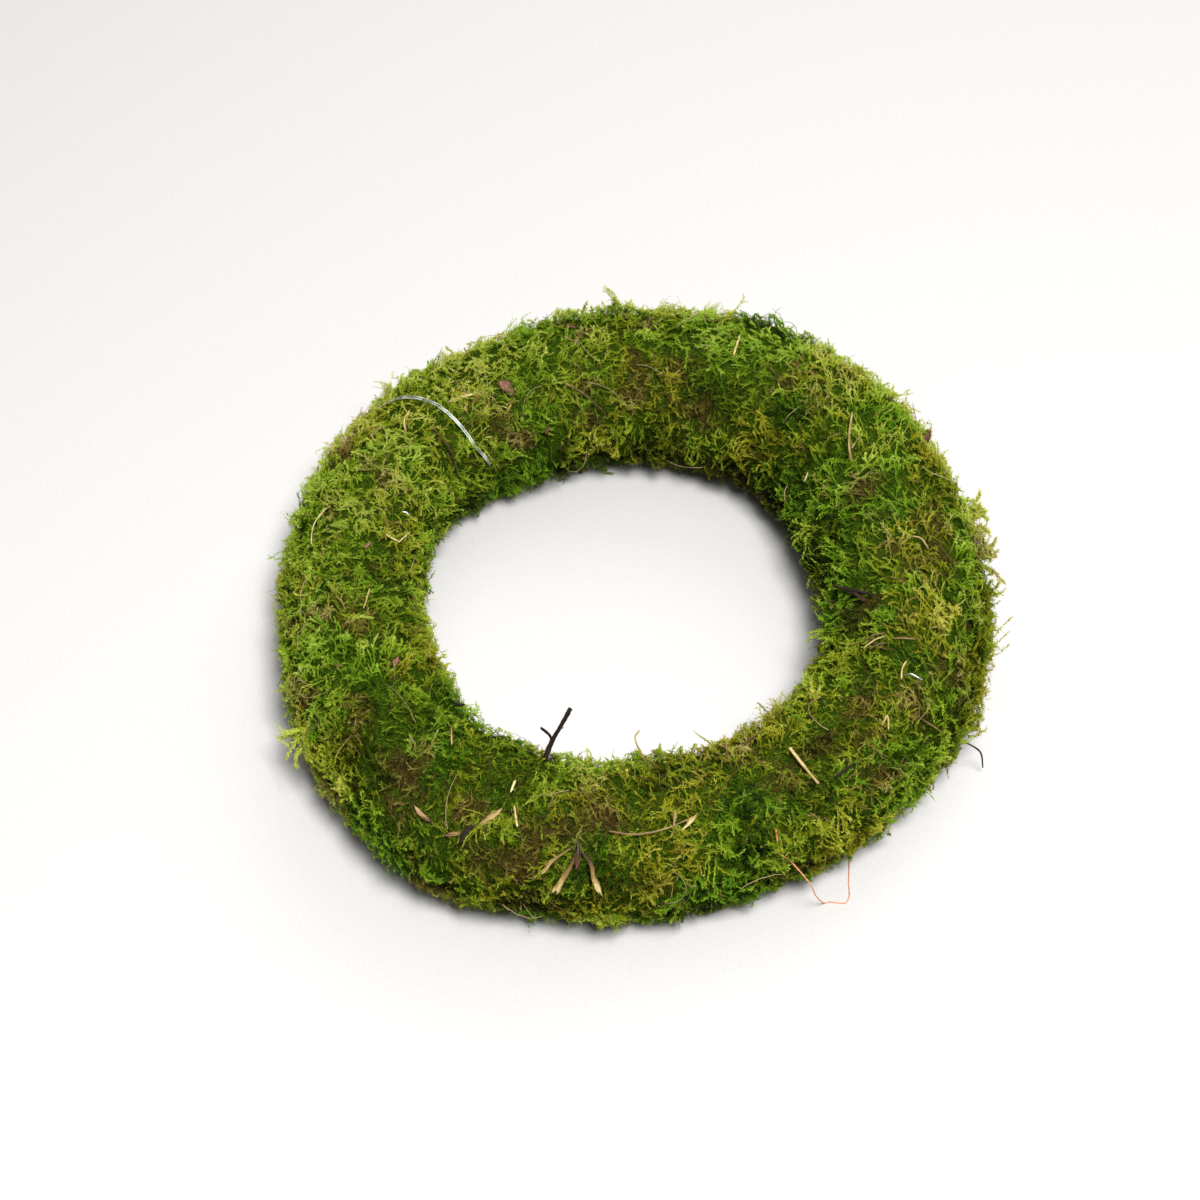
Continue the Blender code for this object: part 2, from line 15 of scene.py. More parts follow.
import bpy
import numpy as np
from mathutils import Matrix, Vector


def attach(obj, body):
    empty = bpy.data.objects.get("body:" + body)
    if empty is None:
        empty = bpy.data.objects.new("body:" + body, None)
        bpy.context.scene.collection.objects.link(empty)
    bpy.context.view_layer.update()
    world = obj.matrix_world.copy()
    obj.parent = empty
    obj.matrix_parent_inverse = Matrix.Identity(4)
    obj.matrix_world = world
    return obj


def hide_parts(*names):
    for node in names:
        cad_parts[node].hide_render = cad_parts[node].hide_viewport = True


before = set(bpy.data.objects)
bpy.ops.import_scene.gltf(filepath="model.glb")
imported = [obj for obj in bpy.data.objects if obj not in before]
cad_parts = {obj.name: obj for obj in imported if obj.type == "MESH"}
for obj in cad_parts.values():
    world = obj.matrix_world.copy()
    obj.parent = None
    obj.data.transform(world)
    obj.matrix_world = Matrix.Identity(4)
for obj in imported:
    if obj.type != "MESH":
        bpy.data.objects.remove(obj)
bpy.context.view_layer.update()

MM = 0.001
SEED = 11

# The ring as the frame has it: the moss tube and the straw inside it. Waves round the ring are (count,
# height, first crest), and those of the hollows in the moss (count along theta, count along phi).
RING_R = 116 * MM
RING_MIDDLE = np.array((-3.9, 0.9, 0)) * MM
MOSS_R = 34.1 * MM
STRAW_R = 21.5 * MM
SETTLED = 1.5 * MM
GAP = 0.3 * MM
STRAW_OVAL = (2, 2.4 * MM, 81.3)
MOSS_WAVES = ((3, 0.7 * MM, 2.0), (4, 2.4 * MM, -30.4))
PLUMPNESS = ((1, 2.3 * MM, 28.5), (2, 1.5 * MM, 45.3), (3, 0.9 * MM, -5.8))
SKIN_DEPTH = 2.0 * MM
HOLLOW_DEPTH = 2.2 * MM
HOLLOW_WAVES = ((11, 2), (-7, 3))
PADS = 12
PAD_SPAN = 360 / PADS
SEAM_SLANT = math.degrees(math.tan(math.radians(20)) * MOSS_R / RING_R)
PAD_LAY = (80, 20, 65, 110, 150, 95, 75, 100, 40, 150, 25, 120)

# Steps that spread numbered places evenly over a square.
EVEN_STEPS = (0.7548776662, 0.5698402910)

# The mat of roots and dead shoots that the green strands stand in. Its underside, where the sine of
# -phi is over MAT_FOOT_FROM, is drawn down to the table by up to MAT_FOOT.
MAT_COLUMNS = 14
MAT_ROWS = 48
MAT_DEPTH = 1.9 * MM
MAT_ROUGHNESS = 0.8 * MM
MAT_WALL = 0.8 * MM
MAT_FOOT = 5.0 * MM
MAT_FOOT_FROM = 0.8

# Beds of moss that share a lay and a colour, and the clumps in them, each a dome. STRAY, HEIGHT, AGE
# and YELLOW are spreads of random draws, with the middle first in BED_YELLOW. CLUMP_SIZE is the ends
# of a draw, and CLUMP_DRY too, for dry clumps. DRY_CLUMPS are their shares in dry and other beds.
BEDS = 240
BED_STRAY = 45
BED_YELLOW = (0.40, 0.30)
BED_AGE = 0.10
DRY_BEDS = 0.2
DRY_CLUMPS = (0.35, 0.06)
CLUMPS = 2000
CLUMP_R = 5.8 * MM
CLUMP_DOME = 2.2 * MM
CLUMP_HEIGHT = 0.8 * MM
CLUMP_STRAY = 24
CLUMP_YELLOW = 0.16
CLUMP_AGE = 0.08
CLUMP_SIZE = (0.82, 1.18)
CLUMP_DRY = (0.35, 0.8)
FRESH_DRY = 0.03

# Ages that the place on the wreath adds: waves round the ring. Then painted light and shade: lighter
# on top, darker in the hole, and darker where the moss faces down. FACE_DOWN is the phi where that
# painted shade starts, where it is full and where it ends. The last two are the lift that adds an age
# of 1 and the ends of what lift adds: deeper strands are older, and also darker as painted shade.
AGE_WAVES = ((1, 0.13, 110.0), (2, 0.05, 160.0))
TOP_PAINTED_LIGHT = 0.07
HOLE_PAINTED_SHADE = 0.10
FACE_DOWN_PAINTED_SHADE = 0.32
FACE_DOWN = (168, 203, 300)
# Painted shade, with real age: the deeper a strand lies in the moss, the darker it is drawn.
FULL_AGE_AND_SHADE_LIFT = 12 * MM
AGE_AND_SHADE_BY_LIFT = (-0.25, 0.2)

# Where the moss is fuller or thinner than the ring has it: (theta, phi, radius and lift in mm).
SWELLS = (
    (6, 176, 22, -3.5), (116, 50, 20, -2.0), (256, -12, 24, -2.5), (288, 152, 12, 2.0),
    (118, 205, 24, 3.0), (192, 172, 16, 2.0), (91, 50, 9, 2.0), (20, 42, 9, 2.5),
)

# Patches that stand out in the photograph, each (theta, phi, radius in millimetres).
DRY_PATCHES = (
    (140, 125, 5), (143, 150, 6), (152, 48, 6), (192, 60, 6), (192, 95, 5), (79, 115, 5), (69, 150, 6),
    (55, 112, 6), (18, 114, 5), (4, 30, 6), (346, 113, 6), (333, 106, 6), (327, 60, 6), (266, 68, 7),
    (256, 52, 6), (254, 32, 7), (295, 105, 8), (233, 60, 9), (216, 64, 6), (244, 55, 7),
)
YELLOW_PATCHES = (
    (183, 63, 5), (345, 60, 6), (244, 123, 5), (245, 84, 5), (314, 114, 6), (12, 18, 5), (211, 10, 6),
)
LIME_PATCHES = (
    (148, 114, 6), (120, 138, 8), (87, 94, 7), (286, 76, 7), (274, 145, 10), (43, 35, 8), (226, 110, 9),
    (174, 92, 7), (322, 109, 8), (208, 99, 8), (255, 132, 9), (286, 46, 8), (62, 74, 8), (347, 84, 7),
)
DEEP_PATCHES = (
    (162, 130, 6), (184, 78, 6), (98, 168, 6), (83, 128, 7), (47, 128, 6), (36, 113, 5), (9, 92, 5),
    (333, 74, 5), (290, 27, 6), (266, 40, 7), (260, 68, 5), (244, 46, 5), (216, 80, 5),
)

# The looks of the patches that aren't dry: (places, share of yellow, added age, added height).
FRESH_PATCHES = (
    (LIME_PATCHES, 0.25, 0.10, 0.6 * MM),
    (YELLOW_PATCHES, 0.9, 0.10, 0.6 * MM),
    (DEEP_PATCHES, 0.1, -0.18, -1.0 * MM),
)
LIME_SIZE = 1.15
PATCH_DRY = 0.75

# Strands of moss: main ones that lie along their clump, their side branches, and loose tips. Fewer
# grow underneath: UNDERNEATH is phi, and the share that grows there. STRAY and BEND are spreads in
# degrees. LENGTH and RISE, the lift of the tips, are least, usual and greatest for main strands, and
# the ends of a draw for tips. SIDE_RISE is over the root. AGES are those at root and tip, and for side
# branches what they add to them. DEAD_STRANDS is the share of strands that are dry by themselves.
UNDERNEATH = ((-70, -45, 215, 245), (0.3, 1.0, 1.0, 0.3))
DEAD_STRANDS = 0.025
DEAD_DRY = 0.7
ROOT_LIFT = -2.4 * MM
MAINS_PER_PAD = 1300
MAIN_POINTS = 7
MAIN_STRAY = 32
MAIN_BEND = 95
MAIN_LENGTH = (4.2 * MM, 7.0 * MM, 14.0 * MM)
MAIN_RISE = (-0.5 * MM, 1.5 * MM, 4.5 * MM)
MAIN_AGES = (0.45, 0.68)
MAIN_LEAVES = 22
SIDES_PER_MAIN = 2
SIDES_FROM = 0.22
SIDES_OVER = 0.66
SIDE_POINTS = 3
SIDE_ANGLE = 50
SIDE_LENGTH = 3.0 * MM
SIDE_RISE = 0.6 * MM
SIDE_AGES = (-0.02, 0.1)
SIDE_SIZE = 0.78
SIDE_LEAVES = 10
TIPS_PER_PAD = 220
TIP_ROOT_LIFT = -1.6 * MM
TIP_POINTS = 3
TIP_STRAY = 75
TIP_BEND = 120
TIP_LENGTH = (3.0 * MM, 5.0 * MM)
TIP_RISE = (1.0 * MM, 3.6 * MM)
TALL_TIPS = 0.13
TALL_TIP_RISE = (3.5 * MM, 7.0 * MM)
TIP_AGES = (0.52, 0.74)
TIP_SIZE = 0.85
TABLE_CLEARANCE = 0.3 * MM

# Leaves, and the green core that they stand on. Their spread is in degrees: at the foot of a strand,
# at its tip, and how far it strays. TURNED_UP brings them round to the side that faces out. A leaf
# drier than SHRUNK_FROM is smaller.
CORE_R = 0.20 * MM
# Painted shade: a strand's core is drawn darker than its leaves.
CORE_PAINTED_SHADE = -0.12
LEAF_FROM = 0.04
LEAF_TO = 0.99
LEAF_LENGTH = 1.15 * MM
LEAF_WIDTH = 0.62 * MM
LEAF_SPREAD = (64, 34, 12)
LEAF_FOOT = 0.65
GOLDEN_ANGLE = 137.5
TURNED_UP = 0.8
SHRUNK = 0.4
SHRUNK_FROM = 0.3

# Roots and dead stems, thin as hair, that wander over each handful of moss.
FIBRES_PER_PAD = 14
FIBRE_POINTS = 9
FIBRE_BEND = 70
FIBRE_LENGTH = (9.0 * MM, 26.0 * MM)
FIBRE_RISE = (2.0 * MM, 4.5 * MM)
FIBRE_WAVER = 0.25 * MM
FIBRE_R = 0.16 * MM
FIBRE_SIDES = 3

# The nylon thread, wound as the frame has it. Its first two turns show side by side as a loop, over
# the phi of THREAD_SHOWS, and sway by LOOP_SWAY degrees of theta. Its lift and its sway end where it
# has turned LOOP_LIFTED_TO and SWAY_TO degrees round the tube. At a glint, given as (theta, phi, lift
# in millimetres), it comes up out of the moss. Moss is pressed down beside the loop, and rises from
# there by PRESSED_SLOPE a degree.
TURNS = 13
THREAD_R = 0.35 * MM
NYLON_R = 0.30 * MM
THREAD_START = 143.0
SPARE_STEP = 1.3
TURN_STEP = (360 - SPARE_STEP) / TURNS
NYLON_POINTS_PER_TURN = 40
SLACK = 1.8 * MM
SUNK = 4.8 * MM
THREAD_OFF_TABLE = 1.6 * MM
THREAD_SHOWS = (72, 186)
LOOP_HIGHEST_AT = 98
LOOP_LIFTED_TO = 540
LOOP_DRAWN_IN = 0.5
LOOP_SWAY = 1.6
SWAY_PHI = (100, 152, 196)
SWAY_TO = 560
GLINTS = ((331, 69, 6.6), (162, 138, 7.6), (132, 157, 10.5))
GLINT_R = 9.0 * MM
PRESSED_LIFT = 0.8 * MM
PRESSED_HALF_WIDTH = 1.2
PRESSED_SLOPE = 2.5 * MM

# Flat litter that replaces CAD nodes: (node, kind, width in mm, tones at foot and tip, places).
FLAT_LITTER = (
    (
        "dry_grass_1", "blade", 2.7, (0.3, 0.85),
        ((262.4, 47, 0.6), (261.8, 38, 1.0), (260.7, 28, 1.4), (259.9, 19, 2.4)),
    ),
    ("dry_grass_2", "blade", 1.7, (0.5, 0.7), ((261.6, 51, 0.6), (259.2, 42, 1.0), (257.8, 32, 1.6))),
    ("dry_grass_3", "blade", 2.0, (0.05, 0.3), ((262.4, 59, 0.4), (262.9, 49, 1.2), (262.8, 38, 1.6))),
    (
        "dry_grass_4", "blade", 2.4, (0.15, 0.95),
        ((263.2, 50, 0.8), (264.9, 41, 1.2), (265.4, 31, 1.2), (266.4, 20, 2.2)),
    ),
    ("straw_bit_1", "straw", 1.2, (0.8, 0.7), ((138.8, 84, 0.4), (141.4, 88, 0.7), (143.6, 97, 0.4))),
    ("straw_bit_2", "straw", 1.3, (0.75, 0.85), ((132.0, 101, 0.4), (129.2, 103, 0.8), (125.6, 107, 0.4))),
    ("bark_chip_1", "chip", 2.4, (1.0, 0.5), ((236.4, 46, 0.4), (238.0, 44, 0.9), (239.7, 43, 0.4))),
    ("bark_chip_2", "chip", 2.8, (0.9, 0.8), ((249.5, 68, 1.5), (248.3, 61, 1.9), (247.0, 54, 0.8))),
    ("bark_chip_3", "chip", 1.9, (0.55, 0.85), ((242.2, 38, 0.4), (243.3, 41, 0.8), (244.6, 45, 0.4))),
    ("bark_strip", "chip", 1.6, (0.35, 0.6), ((334.8, 119, 0.4), (334.0, 107, 0.5), (333.2, 96, 0.4))),
    ("leaf_scrap_1", "leaf", 5.0, (0.7, 0.5), ((119.6, 106, 0.5), (119.0, 113, 1.2), (118.2, 120, 0.5))),
    ("leaf_scrap_2", "leaf", 4.0, (0.4, 0.6), ((8.6, 22, 0.5), (7.2, 16, 1.8), (5.8, 9, 3.8))),
    ("leaf_scrap_3", "leaf", 3.2, (0.3, 0.5), ((25.2, 50, 0.5), (26.6, 44, 1.6), (28.4, 38, 3.2))),
)

# Thin stems that replace CAD nodes: (node, slot, radii at root and tip in mm, tones, places).
STEM_LITTER = (
    (
        "grass_stem_1", "dry_grass", (0.7, 0.5), (0.9, 0.7),
        ((303.2, 92, 1.8), (303.2, 80, 1.8), (303.4, 69, 1.8), (303.8, 59, 1.8)),
    ),
    (
        "grass_stem_2", "dry_grass", (0.45, 0.3), (0.45, 0.7),
        ((267.3, 63, 0.4), (271.5, 60, 0.8), (276.0, 61, 1.8), (281.2, 66, 0.4)),
    ),
    (
        "inner_twig", "bark", (0.9, 0.5), (0.35, 0.2),
        ((344.4, 120, 0.4), (347.0, 129, 0.8), (349.6, 138, 1.4), (351.8, 145, 2.6)),
    ),
    (
        "rootlet", "bark", (0.4, 0.3), (0.5, 0.3),
        ((332.2, -6, 0.4), (333.4, -12, 4), (334.9, -22, 10), (335.6, -34, 17)),
    ),
    (
        "tendril", "dry_grass", (0.4, 0.3), (0.6, 0.8),
        ((274.6, 130, 0.4), (273.4, 134, 4.5), (272.4, 139, 9), (273.6, 141, 11.5)),
    ),
)

# Small bits that lie on the moss and have no node in the frame: flat ones (kind, width in mm, tones,
# places), and stems (slot, radii in mm, tones, places).
SMALL_BITS = (
    ("straw", 0.8, (0.9, 0.9), ((171.0, 120, 2.2), (171.2, 132, 2.6))),
    ("straw", 0.7, (0.9, 0.8), ((171.2, 132, 2.6), (165.8, 141, 2.4))),
    ("straw", 0.7, (0.85, 0.95), ((175.5, 60, 2.2), (171.8, 61, 2.8), (168.8, 67, 2.8), (167.0, 72, 2.0))),
    ("straw", 0.7, (0.8, 0.8), ((190.0, 105, 2.2), (195.5, 98, 2.6))),
    ("straw", 0.9, (0.95, 0.9), ((66.0, 102, 2.0), (66.5, 87, 3.0))),
    ("straw", 1.0, (0.9, 0.95), ((30.2, 145, 2.0), (30.5, 139, 2.8))),
    ("straw", 0.8, (0.8, 0.6), ((0.5, 88, 2.0), (359.8, 83, 2.6), (357.8, 79, 2.0))),
    ("straw", 0.8, (0.85, 0.7), ((331.8, 110, 2.2), (334.0, 104, 2.8), (335.5, 98, 2.4))),
    ("straw", 0.7, (0.35, 0.5), ((332.8, 114, 2.4), (334.8, 106, 3.0), (336.0, 100, 2.6))),
    ("straw", 0.7, (0.45, 0.4), ((331.5, 106, 2.2), (333.2, 100, 2.8), (334.0, 96, 2.2))),
    ("straw", 0.9, (0.5, 0.6), ((335.5, 93, 2.2), (336.2, 86, 2.8), (337.0, 80, 2.2))),
    ("straw", 0.8, (0.9, 0.8), ((328.2, 76, 2.2), (330.0, 79, 2.8), (332.0, 79, 2.6))),
    ("straw", 0.9, (0.7, 0.9), ((318.8, 66, 2.2), (320.2, 68, 4.6), (319.2, 61, 2.2))),
    ("straw", 0.9, (0.6, 0.7), ((233.2, 107, 2.2), (236.2, 95, 2.6))),
    ("straw", 1.1, (0.75, 0.95), ((251.5, 73, 2.4), (253.0, 60, 2.8))),
    ("straw", 1.0, (0.9, 1.0), ((250.0, 90, 2.2), (250.2, 81, 2.8))),
    ("blade", 1.7, (0.75, 0.85), ((279.0, 58, 2.2), (281.8, 66, 3.0))),
    ("blade", 1.4, (0.55, 0.65), ((277.8, 60, 2.2), (278.5, 71, 3.0))),
    ("chip", 1.5, (0.1, 0.2), ((351.5, 144, 2.0), (347.5, 129, 2.6), (345.2, 113, 1.8))),
    ("chip", 1.8, (0.1, 0.05), ((227.2, 132, 2.2), (227.4, 143, 2.6))),
    ("chip", 1.1, (0.2, 0.1), ((306.8, 57, 2.6), (310.8, 58, 3.0))),
    ("chip", 2.4, (0.1, 0.2), ((245.0, 38, 1.8), (245.5, 46, 2.6), (246.2, 54, 2.0))),
    ("leaf", 2.2, (0.7, 0.8), ((213.0, 104, 2.4), (211.5, 110, 2.8))),
    ("leaf", 1.6, (0.6, 0.8), ((177.6, 103, 2.4), (175.6, 108, 2.6))),
    ("leaf", 3.0, (0.45, 0.7), ((102.0, 74, 2.0), (100.4, 80, 3.2))),
    ("leaf", 2.0, (0.5, 0.4), ((113.4, 156, 2.0), (112.4, 150, 2.6))),
)
SMALL_STEMS = (
    ("bark", (0.4, 0.25), (0.7, 0.5), ((105.2, 124, 1.6), (101.2, 134, 2.8), (96.5, 148, 2.0))),
    ("bark", (0.35, 0.25), (0.6, 0.7), ((325.0, 52, 1.6), (326.5, 34, 3.0))),
    ("dry_grass", (0.55, 0.4), (0.6, 0.75), ((24.5, 110, 1.4), (29.5, 104, 3.4), (34.5, 93, 4.2))),
    ("bark", (0.35, 0.25), (0.8, 0.7), ((26.8, 106, 2.6), (28.2, 98, 3.4))),
    ("bark", (0.4, 0.3), (0.5, 0.6), ((295.8, 113, 2.0), (301.2, 117, 2.8))),
    ("bark", (0.45, 0.3), (0.3, 0.5), ((141.5, 154, 1.4), (139.8, 132, 2.6), (139.0, 111, 1.6))),
)
LITTER_LIFT = 0.35 * MM
STRIP_STEP = 0.8 * MM
STRIP_COLUMNS = 8
ROD_SIDES = 9
ROD_STEP = 0.7 * MM

# A direction that no stem runs along, to turn its first ring of corners from.
ASKEW = (0.31, 0.52, 0.79)

# How the moss is pressed down under the litter that has nodes: how far beside it, how deep under it,
# and how steeply it rises from there.
LITTER_ROOM = 0.8 * MM
LITTER_BED = 0.4 * MM
LITTER_SLOPE = 1.5

# The lengths that one unit of a piece of litter's growth colours stands for, along and across it.
GROWTH_ALONG = 100 * MM
GROWTH_ACROSS = 20 * MM

# The forked twig: where it stands, and its joints from there in millimetres.
TWIG_FOOT = (252.8, 125)
TWIG_FOOT_LIFT = 0.6 * MM
TWIG_STEM = ((0, 0, -2), (0, 0, 0), (2.5, 2.5, 7), (6.5, 4.5, 15.5), (9.5, 6.5, 22))
TWIG_BRANCH = ((2.0, 2.0, 5.6), (2.4, 2.4, 6.7), (1.4, 2.8, 10.5), (-1.6, 3.4, 14))
TWIG_STUB = ((5.6, 4.0, 13.4), (6.6, 2.9, 14.8))
TWIG_R = 0.95 * MM
BRANCH_R = 0.6 * MM

# Sprigs that stand out in the photograph: (theta, phi, shoots, heading, bend, length and lift of the
# tips in millimetres, size, shares of yellow and dry, age at the tips).
SPRIGS = (
    (210, 20, 7, -80, -50, 15, 8.0, 1.5, 0.45, 0.0, 0.95),
    (185, 56, 1, 70, -140, 9, 6.0, 1.0, 0.7, 0.0, 0.9),
    (194, 80, 1, 27, -35, 15, 4.5, 2.1, 0.55, 0.0, 0.98),
    (140, 50, 2, 60, 300, 15, 9.0, 1.1, 0.6, 0.3, 0.75),
    (129, 60, 2, 90, 60, 9, 8.0, 0.9, 0.3, 0.3, 0.45),
    (98, 60, 1, 75, 40, 7, 9.0, 1.3, 0.5, 0.1, 0.9),
    (91, 50, 4, 90, -60, 9, 10.0, 1.2, 0.45, 0.0, 0.9),
    (72, 62, 1, 100, 190, 12, 11.0, 1.2, 0.6, 0.0, 0.9),
    (38, 45, 2, 90, 210, 14, 9.5, 1.2, 0.6, 0.0, 0.9),
    (28, 32, 4, 80, 60, 9, 8.0, 1.0, 0.4, 0.8, 0.6),
    (12, 20, 6, 95, 50, 9, 7.5, 2.0, 0.7, 0.0, 0.98),
    (6, 14, 6, -80, 40, 10, 8.0, 1.8, 0.6, 0.5, 0.7),
    (354, 22, 1, -60, 180, 12, 9.0, 1.3, 0.7, 0.1, 0.9),
    (348, 10, 3, -80, 200, 12, 9.5, 1.2, 0.7, 0.2, 0.9),
    (343, 58, 2, 40, 170, 12, 5.0, 1.5, 0.9, 0.0, 0.9),
    (343, 160, 3, 80, 30, 11, 8.0, 1.2, 0.3, 0.0, 0.85),
    (14, 143, 4, 48, 10, 21, 6.5, 1.2, 0.4, 0.1, 0.85),
    (25, 172, 1, 80, 60, 8, 6.0, 1.0, 0.6, 0.2, 0.8),
    (309, 146, 1, 80, 50, 9, 7.0, 0.8, 0.6, 0.4, 0.5),
    (304, 123, 1, 95, 30, 12, 8.5, 0.7, 0.3, 0.4, 0.35),
    (292, 140, 2, 70, 100, 11, 7.5, 0.9, 0.65, 0.2, 0.85),
    (263, 130, 2, 85, 80, 7, 6.0, 0.9, 0.5, 0.0, 0.85),
    (244, 122, 1, 60, 280, 13, 6.5, 1.2, 0.5, 0.0, 0.95),
)
SPRIG_POINTS = 9
SPRIG_LEAVES = 40
SPRIG_SPREAD = 2.2 * MM
SPRIG_AGING = 0.35

# Tufts of shoots that stand out of the moss on both sides of the ring, and curl over. Where they are
# on each side is a range of phi.
TUFTS_PER_PAD = 6
TUFT_STRANDS = 6
TUFT_HEIGHT = (4.5 * MM, 8.0 * MM)
TUFT_CURL = 170
TUFT_SPREAD = 1.8 * MM
TUFT_OUTSIDE = (-15, 60)
TUFT_INSIDE = (130, 200)
TUFT_AGES = (0.48, 0.76)
TUFT_SIZE = 1.15

# The orange thread's route, in millimetres from the ring's middle, or as places on the moss.
ORANGE_R = 0.25 * MM
ORANGE_REST = 0.33 * MM
ORANGE_SPACING = 2.4 * MM
ORANGE_ON_MOSS = ((294.4, 41), (294.1, 31), (294.2, 21), (295.6, 12))
ORANGE_IN_AIR = ((69.8, -134.3, 28), (73.4, -131.6, 14))
ORANGE_ON_TABLE = (
    (77.6, -126.0), (81.6, -125.6), (85.6, -126.0), (87.4, -122.6), (87.4, -117.0), (87.8, -111.0)
)
ORANGE_BACK_IN = ((88.4, -106.0, 2.4), (88.4, -103.0, 5.6))

# The camera, from the photograph's outline of the wreath.
CAMERA_TARGET = Vector((-3.9, 0.9, 29)) * MM
CAMERA_DISTANCE = 1.124
CAMERA_ELEVATION = 51.59
CAMERA_LENS = 82.3
PHOTO_WIDTH = 1200
CONTENT_OFF_CENTRE = (25.4, 3.9)

# The table and the light. Softboxes are (name, direction, distance and size in metres, watts).
TABLE_SIZE = 40
ROOM_LIGHT = 0.09
SOFTBOXES = (
    ("overhead_light", (0.15, -0.46, 1.0), 1.9, 0.5, 53),
    ("ceiling", (0.0, 0.0, 1.0), 2.2, 2.0, 10),
    ("rear_fill", (0.3, 0.9, 0.8), 2.0, 1.6, 18),
)


def waves(theta, *terms):
    """The sum at theta of waves round the ring, each given as (count, height, first crest)."""
    return sum(height * np.cos(np.radians(count * (theta - crest))) for count, height, crest in terms)


def moss_middle(theta):
    """Distance from the ring's axis to the middle of the moss."""
    return RING_R + waves(theta, STRAW_OVAL, *MOSS_WAVES)


def moss_radius(theta):
    """Radius of the moss tube at the tips of its tufts."""
    return MOSS_R + waves(theta, *PLUMPNESS)


def skin_radius(theta, phi):
    """Radius of the moss's skin, which dips between the thicker clumps of moss."""
    clumps = sum(np.sin(np.radians(along * theta + around * phi)) for along, around in HOLLOW_WAVES)
    return moss_radius(theta) - SKIN_DEPTH - HOLLOW_DEPTH * (2 - clumps) / 4


def from_ring(theta, out, height):
    """The point at angle theta, that far from the ring's axis and that high."""
    angle = np.radians(theta)
    return np.stack([out * np.cos(angle), out * np.sin(angle), height], axis=-1) + RING_MIDDLE


def moss_point(theta, phi, lift=0.0):
    """The point at a place on the moss, or the points at arrays of places."""
    theta, phi = np.broadcast_arrays(theta, phi)
    reach = skin_radius(theta, phi) + lift
    out = moss_middle(theta) + reach * np.cos(np.radians(phi))
    return from_ring(theta, out, moss_radius(theta) - SETTLED + reach * np.sin(np.radians(phi)))


def outwards(theta, phi):
    """The unit directions that point straight out of the moss at those places."""
    a, b = np.radians(theta), np.radians(phi)
    return np.stack([np.cos(a) * np.cos(b), np.sin(a) * np.cos(b), np.sin(b)], axis=-1)


def turn_from(a, b):
    """The angle from direction a to direction b, between -180 and 180."""
    return (b - a + 180) % 360 - 180


def unit(vectors):
    """The vectors at length 1."""
    return vectors / np.maximum(np.linalg.norm(vectors, axis=-1, keepdims=True), 1e-12)


def smooth_route(corners, spacing):
    """Points about that far apart on a smooth curve through the corners."""
    corners = [np.asarray(corner, dtype=float) for corner in corners]
    padded = [2 * corners[0] - corners[1], *corners, 2 * corners[-1] - corners[-2]]
    route = []
    for before, start, end, after in zip(padded, padded[1:], padded[2:], padded[3:]):
        count = max(2, round(np.linalg.norm(end - start) / spacing))
        slope = end - before
        bend = 2 * before - 5 * start + 4 * end - after
        twist = 3 * start - before - 3 * end + after
        for index in range(count):
            t = index / count
            route.append(start + (slope * t + bend * t**2 + twist * t**3) / 2)
    return np.array([*route, corners[-1]])


def linear(hex_colour):
    """An sRGB hex colour as linear red, green, blue and alpha."""
    parts = [int(hex_colour[i : i + 2], 16) / 255 for i in (1, 3, 5)]
    return (*((c / 12.92 if c <= 0.04045 else ((c + 0.055) / 1.055) ** 2.4) for c in parts), 1)


def add(tree, kind, inputs=None, stops=None, **settings):
    """Adds a node. inputs are values, or the sockets that feed them, by the input's name or number.

    stops are a colour ramp's places and hex colours.
    """
    node = tree.nodes.new("ShaderNode" + kind)
    for name, value in settings.items():
        setattr(node, name, value)
    for key, value in (inputs or {}).items():
        if isinstance(value, bpy.types.NodeSocket):
            tree.links.new(value, node.inputs[key])
        else:
            node.inputs[key].default_value = value
    for index, (place, colour) in enumerate(stops or ()):
        if index > 1:
            node.color_ramp.elements.new(place)
        node.color_ramp.elements[index].position = place
        node.color_ramp.elements[index].color = linear(colour)
    return node


def new_material(name):
    """An empty material, as its node tree and the socket of its surface."""
    made = bpy.data.materials.new(name)
    made.use_nodes = True
    made.node_tree.nodes.clear()
    output = made.node_tree.nodes.new("ShaderNodeOutputMaterial")
    return made, made.node_tree, output.inputs["Surface"]


def noise_over(tree, grain, detail, stops):
    """Noise of that grain over a piece, and the colours that it gives from the stops."""
    where = add(tree, "TexCoord").outputs["Object"]
    noise = add(tree, "TexNoise", {"Vector": where, "Scale": 1 / grain, "Detail": detail}).outputs[0]
    return noise, add(tree, "ValToRGB", {0: noise}, stops).outputs[0]


def coated(made, surface, looks):
    """The material, with its surface in those looks."""
    shader = add(made.node_tree, "BsdfPrincipled", looks)
    made.node_tree.links.new(shader.outputs[0], surface)
    return made


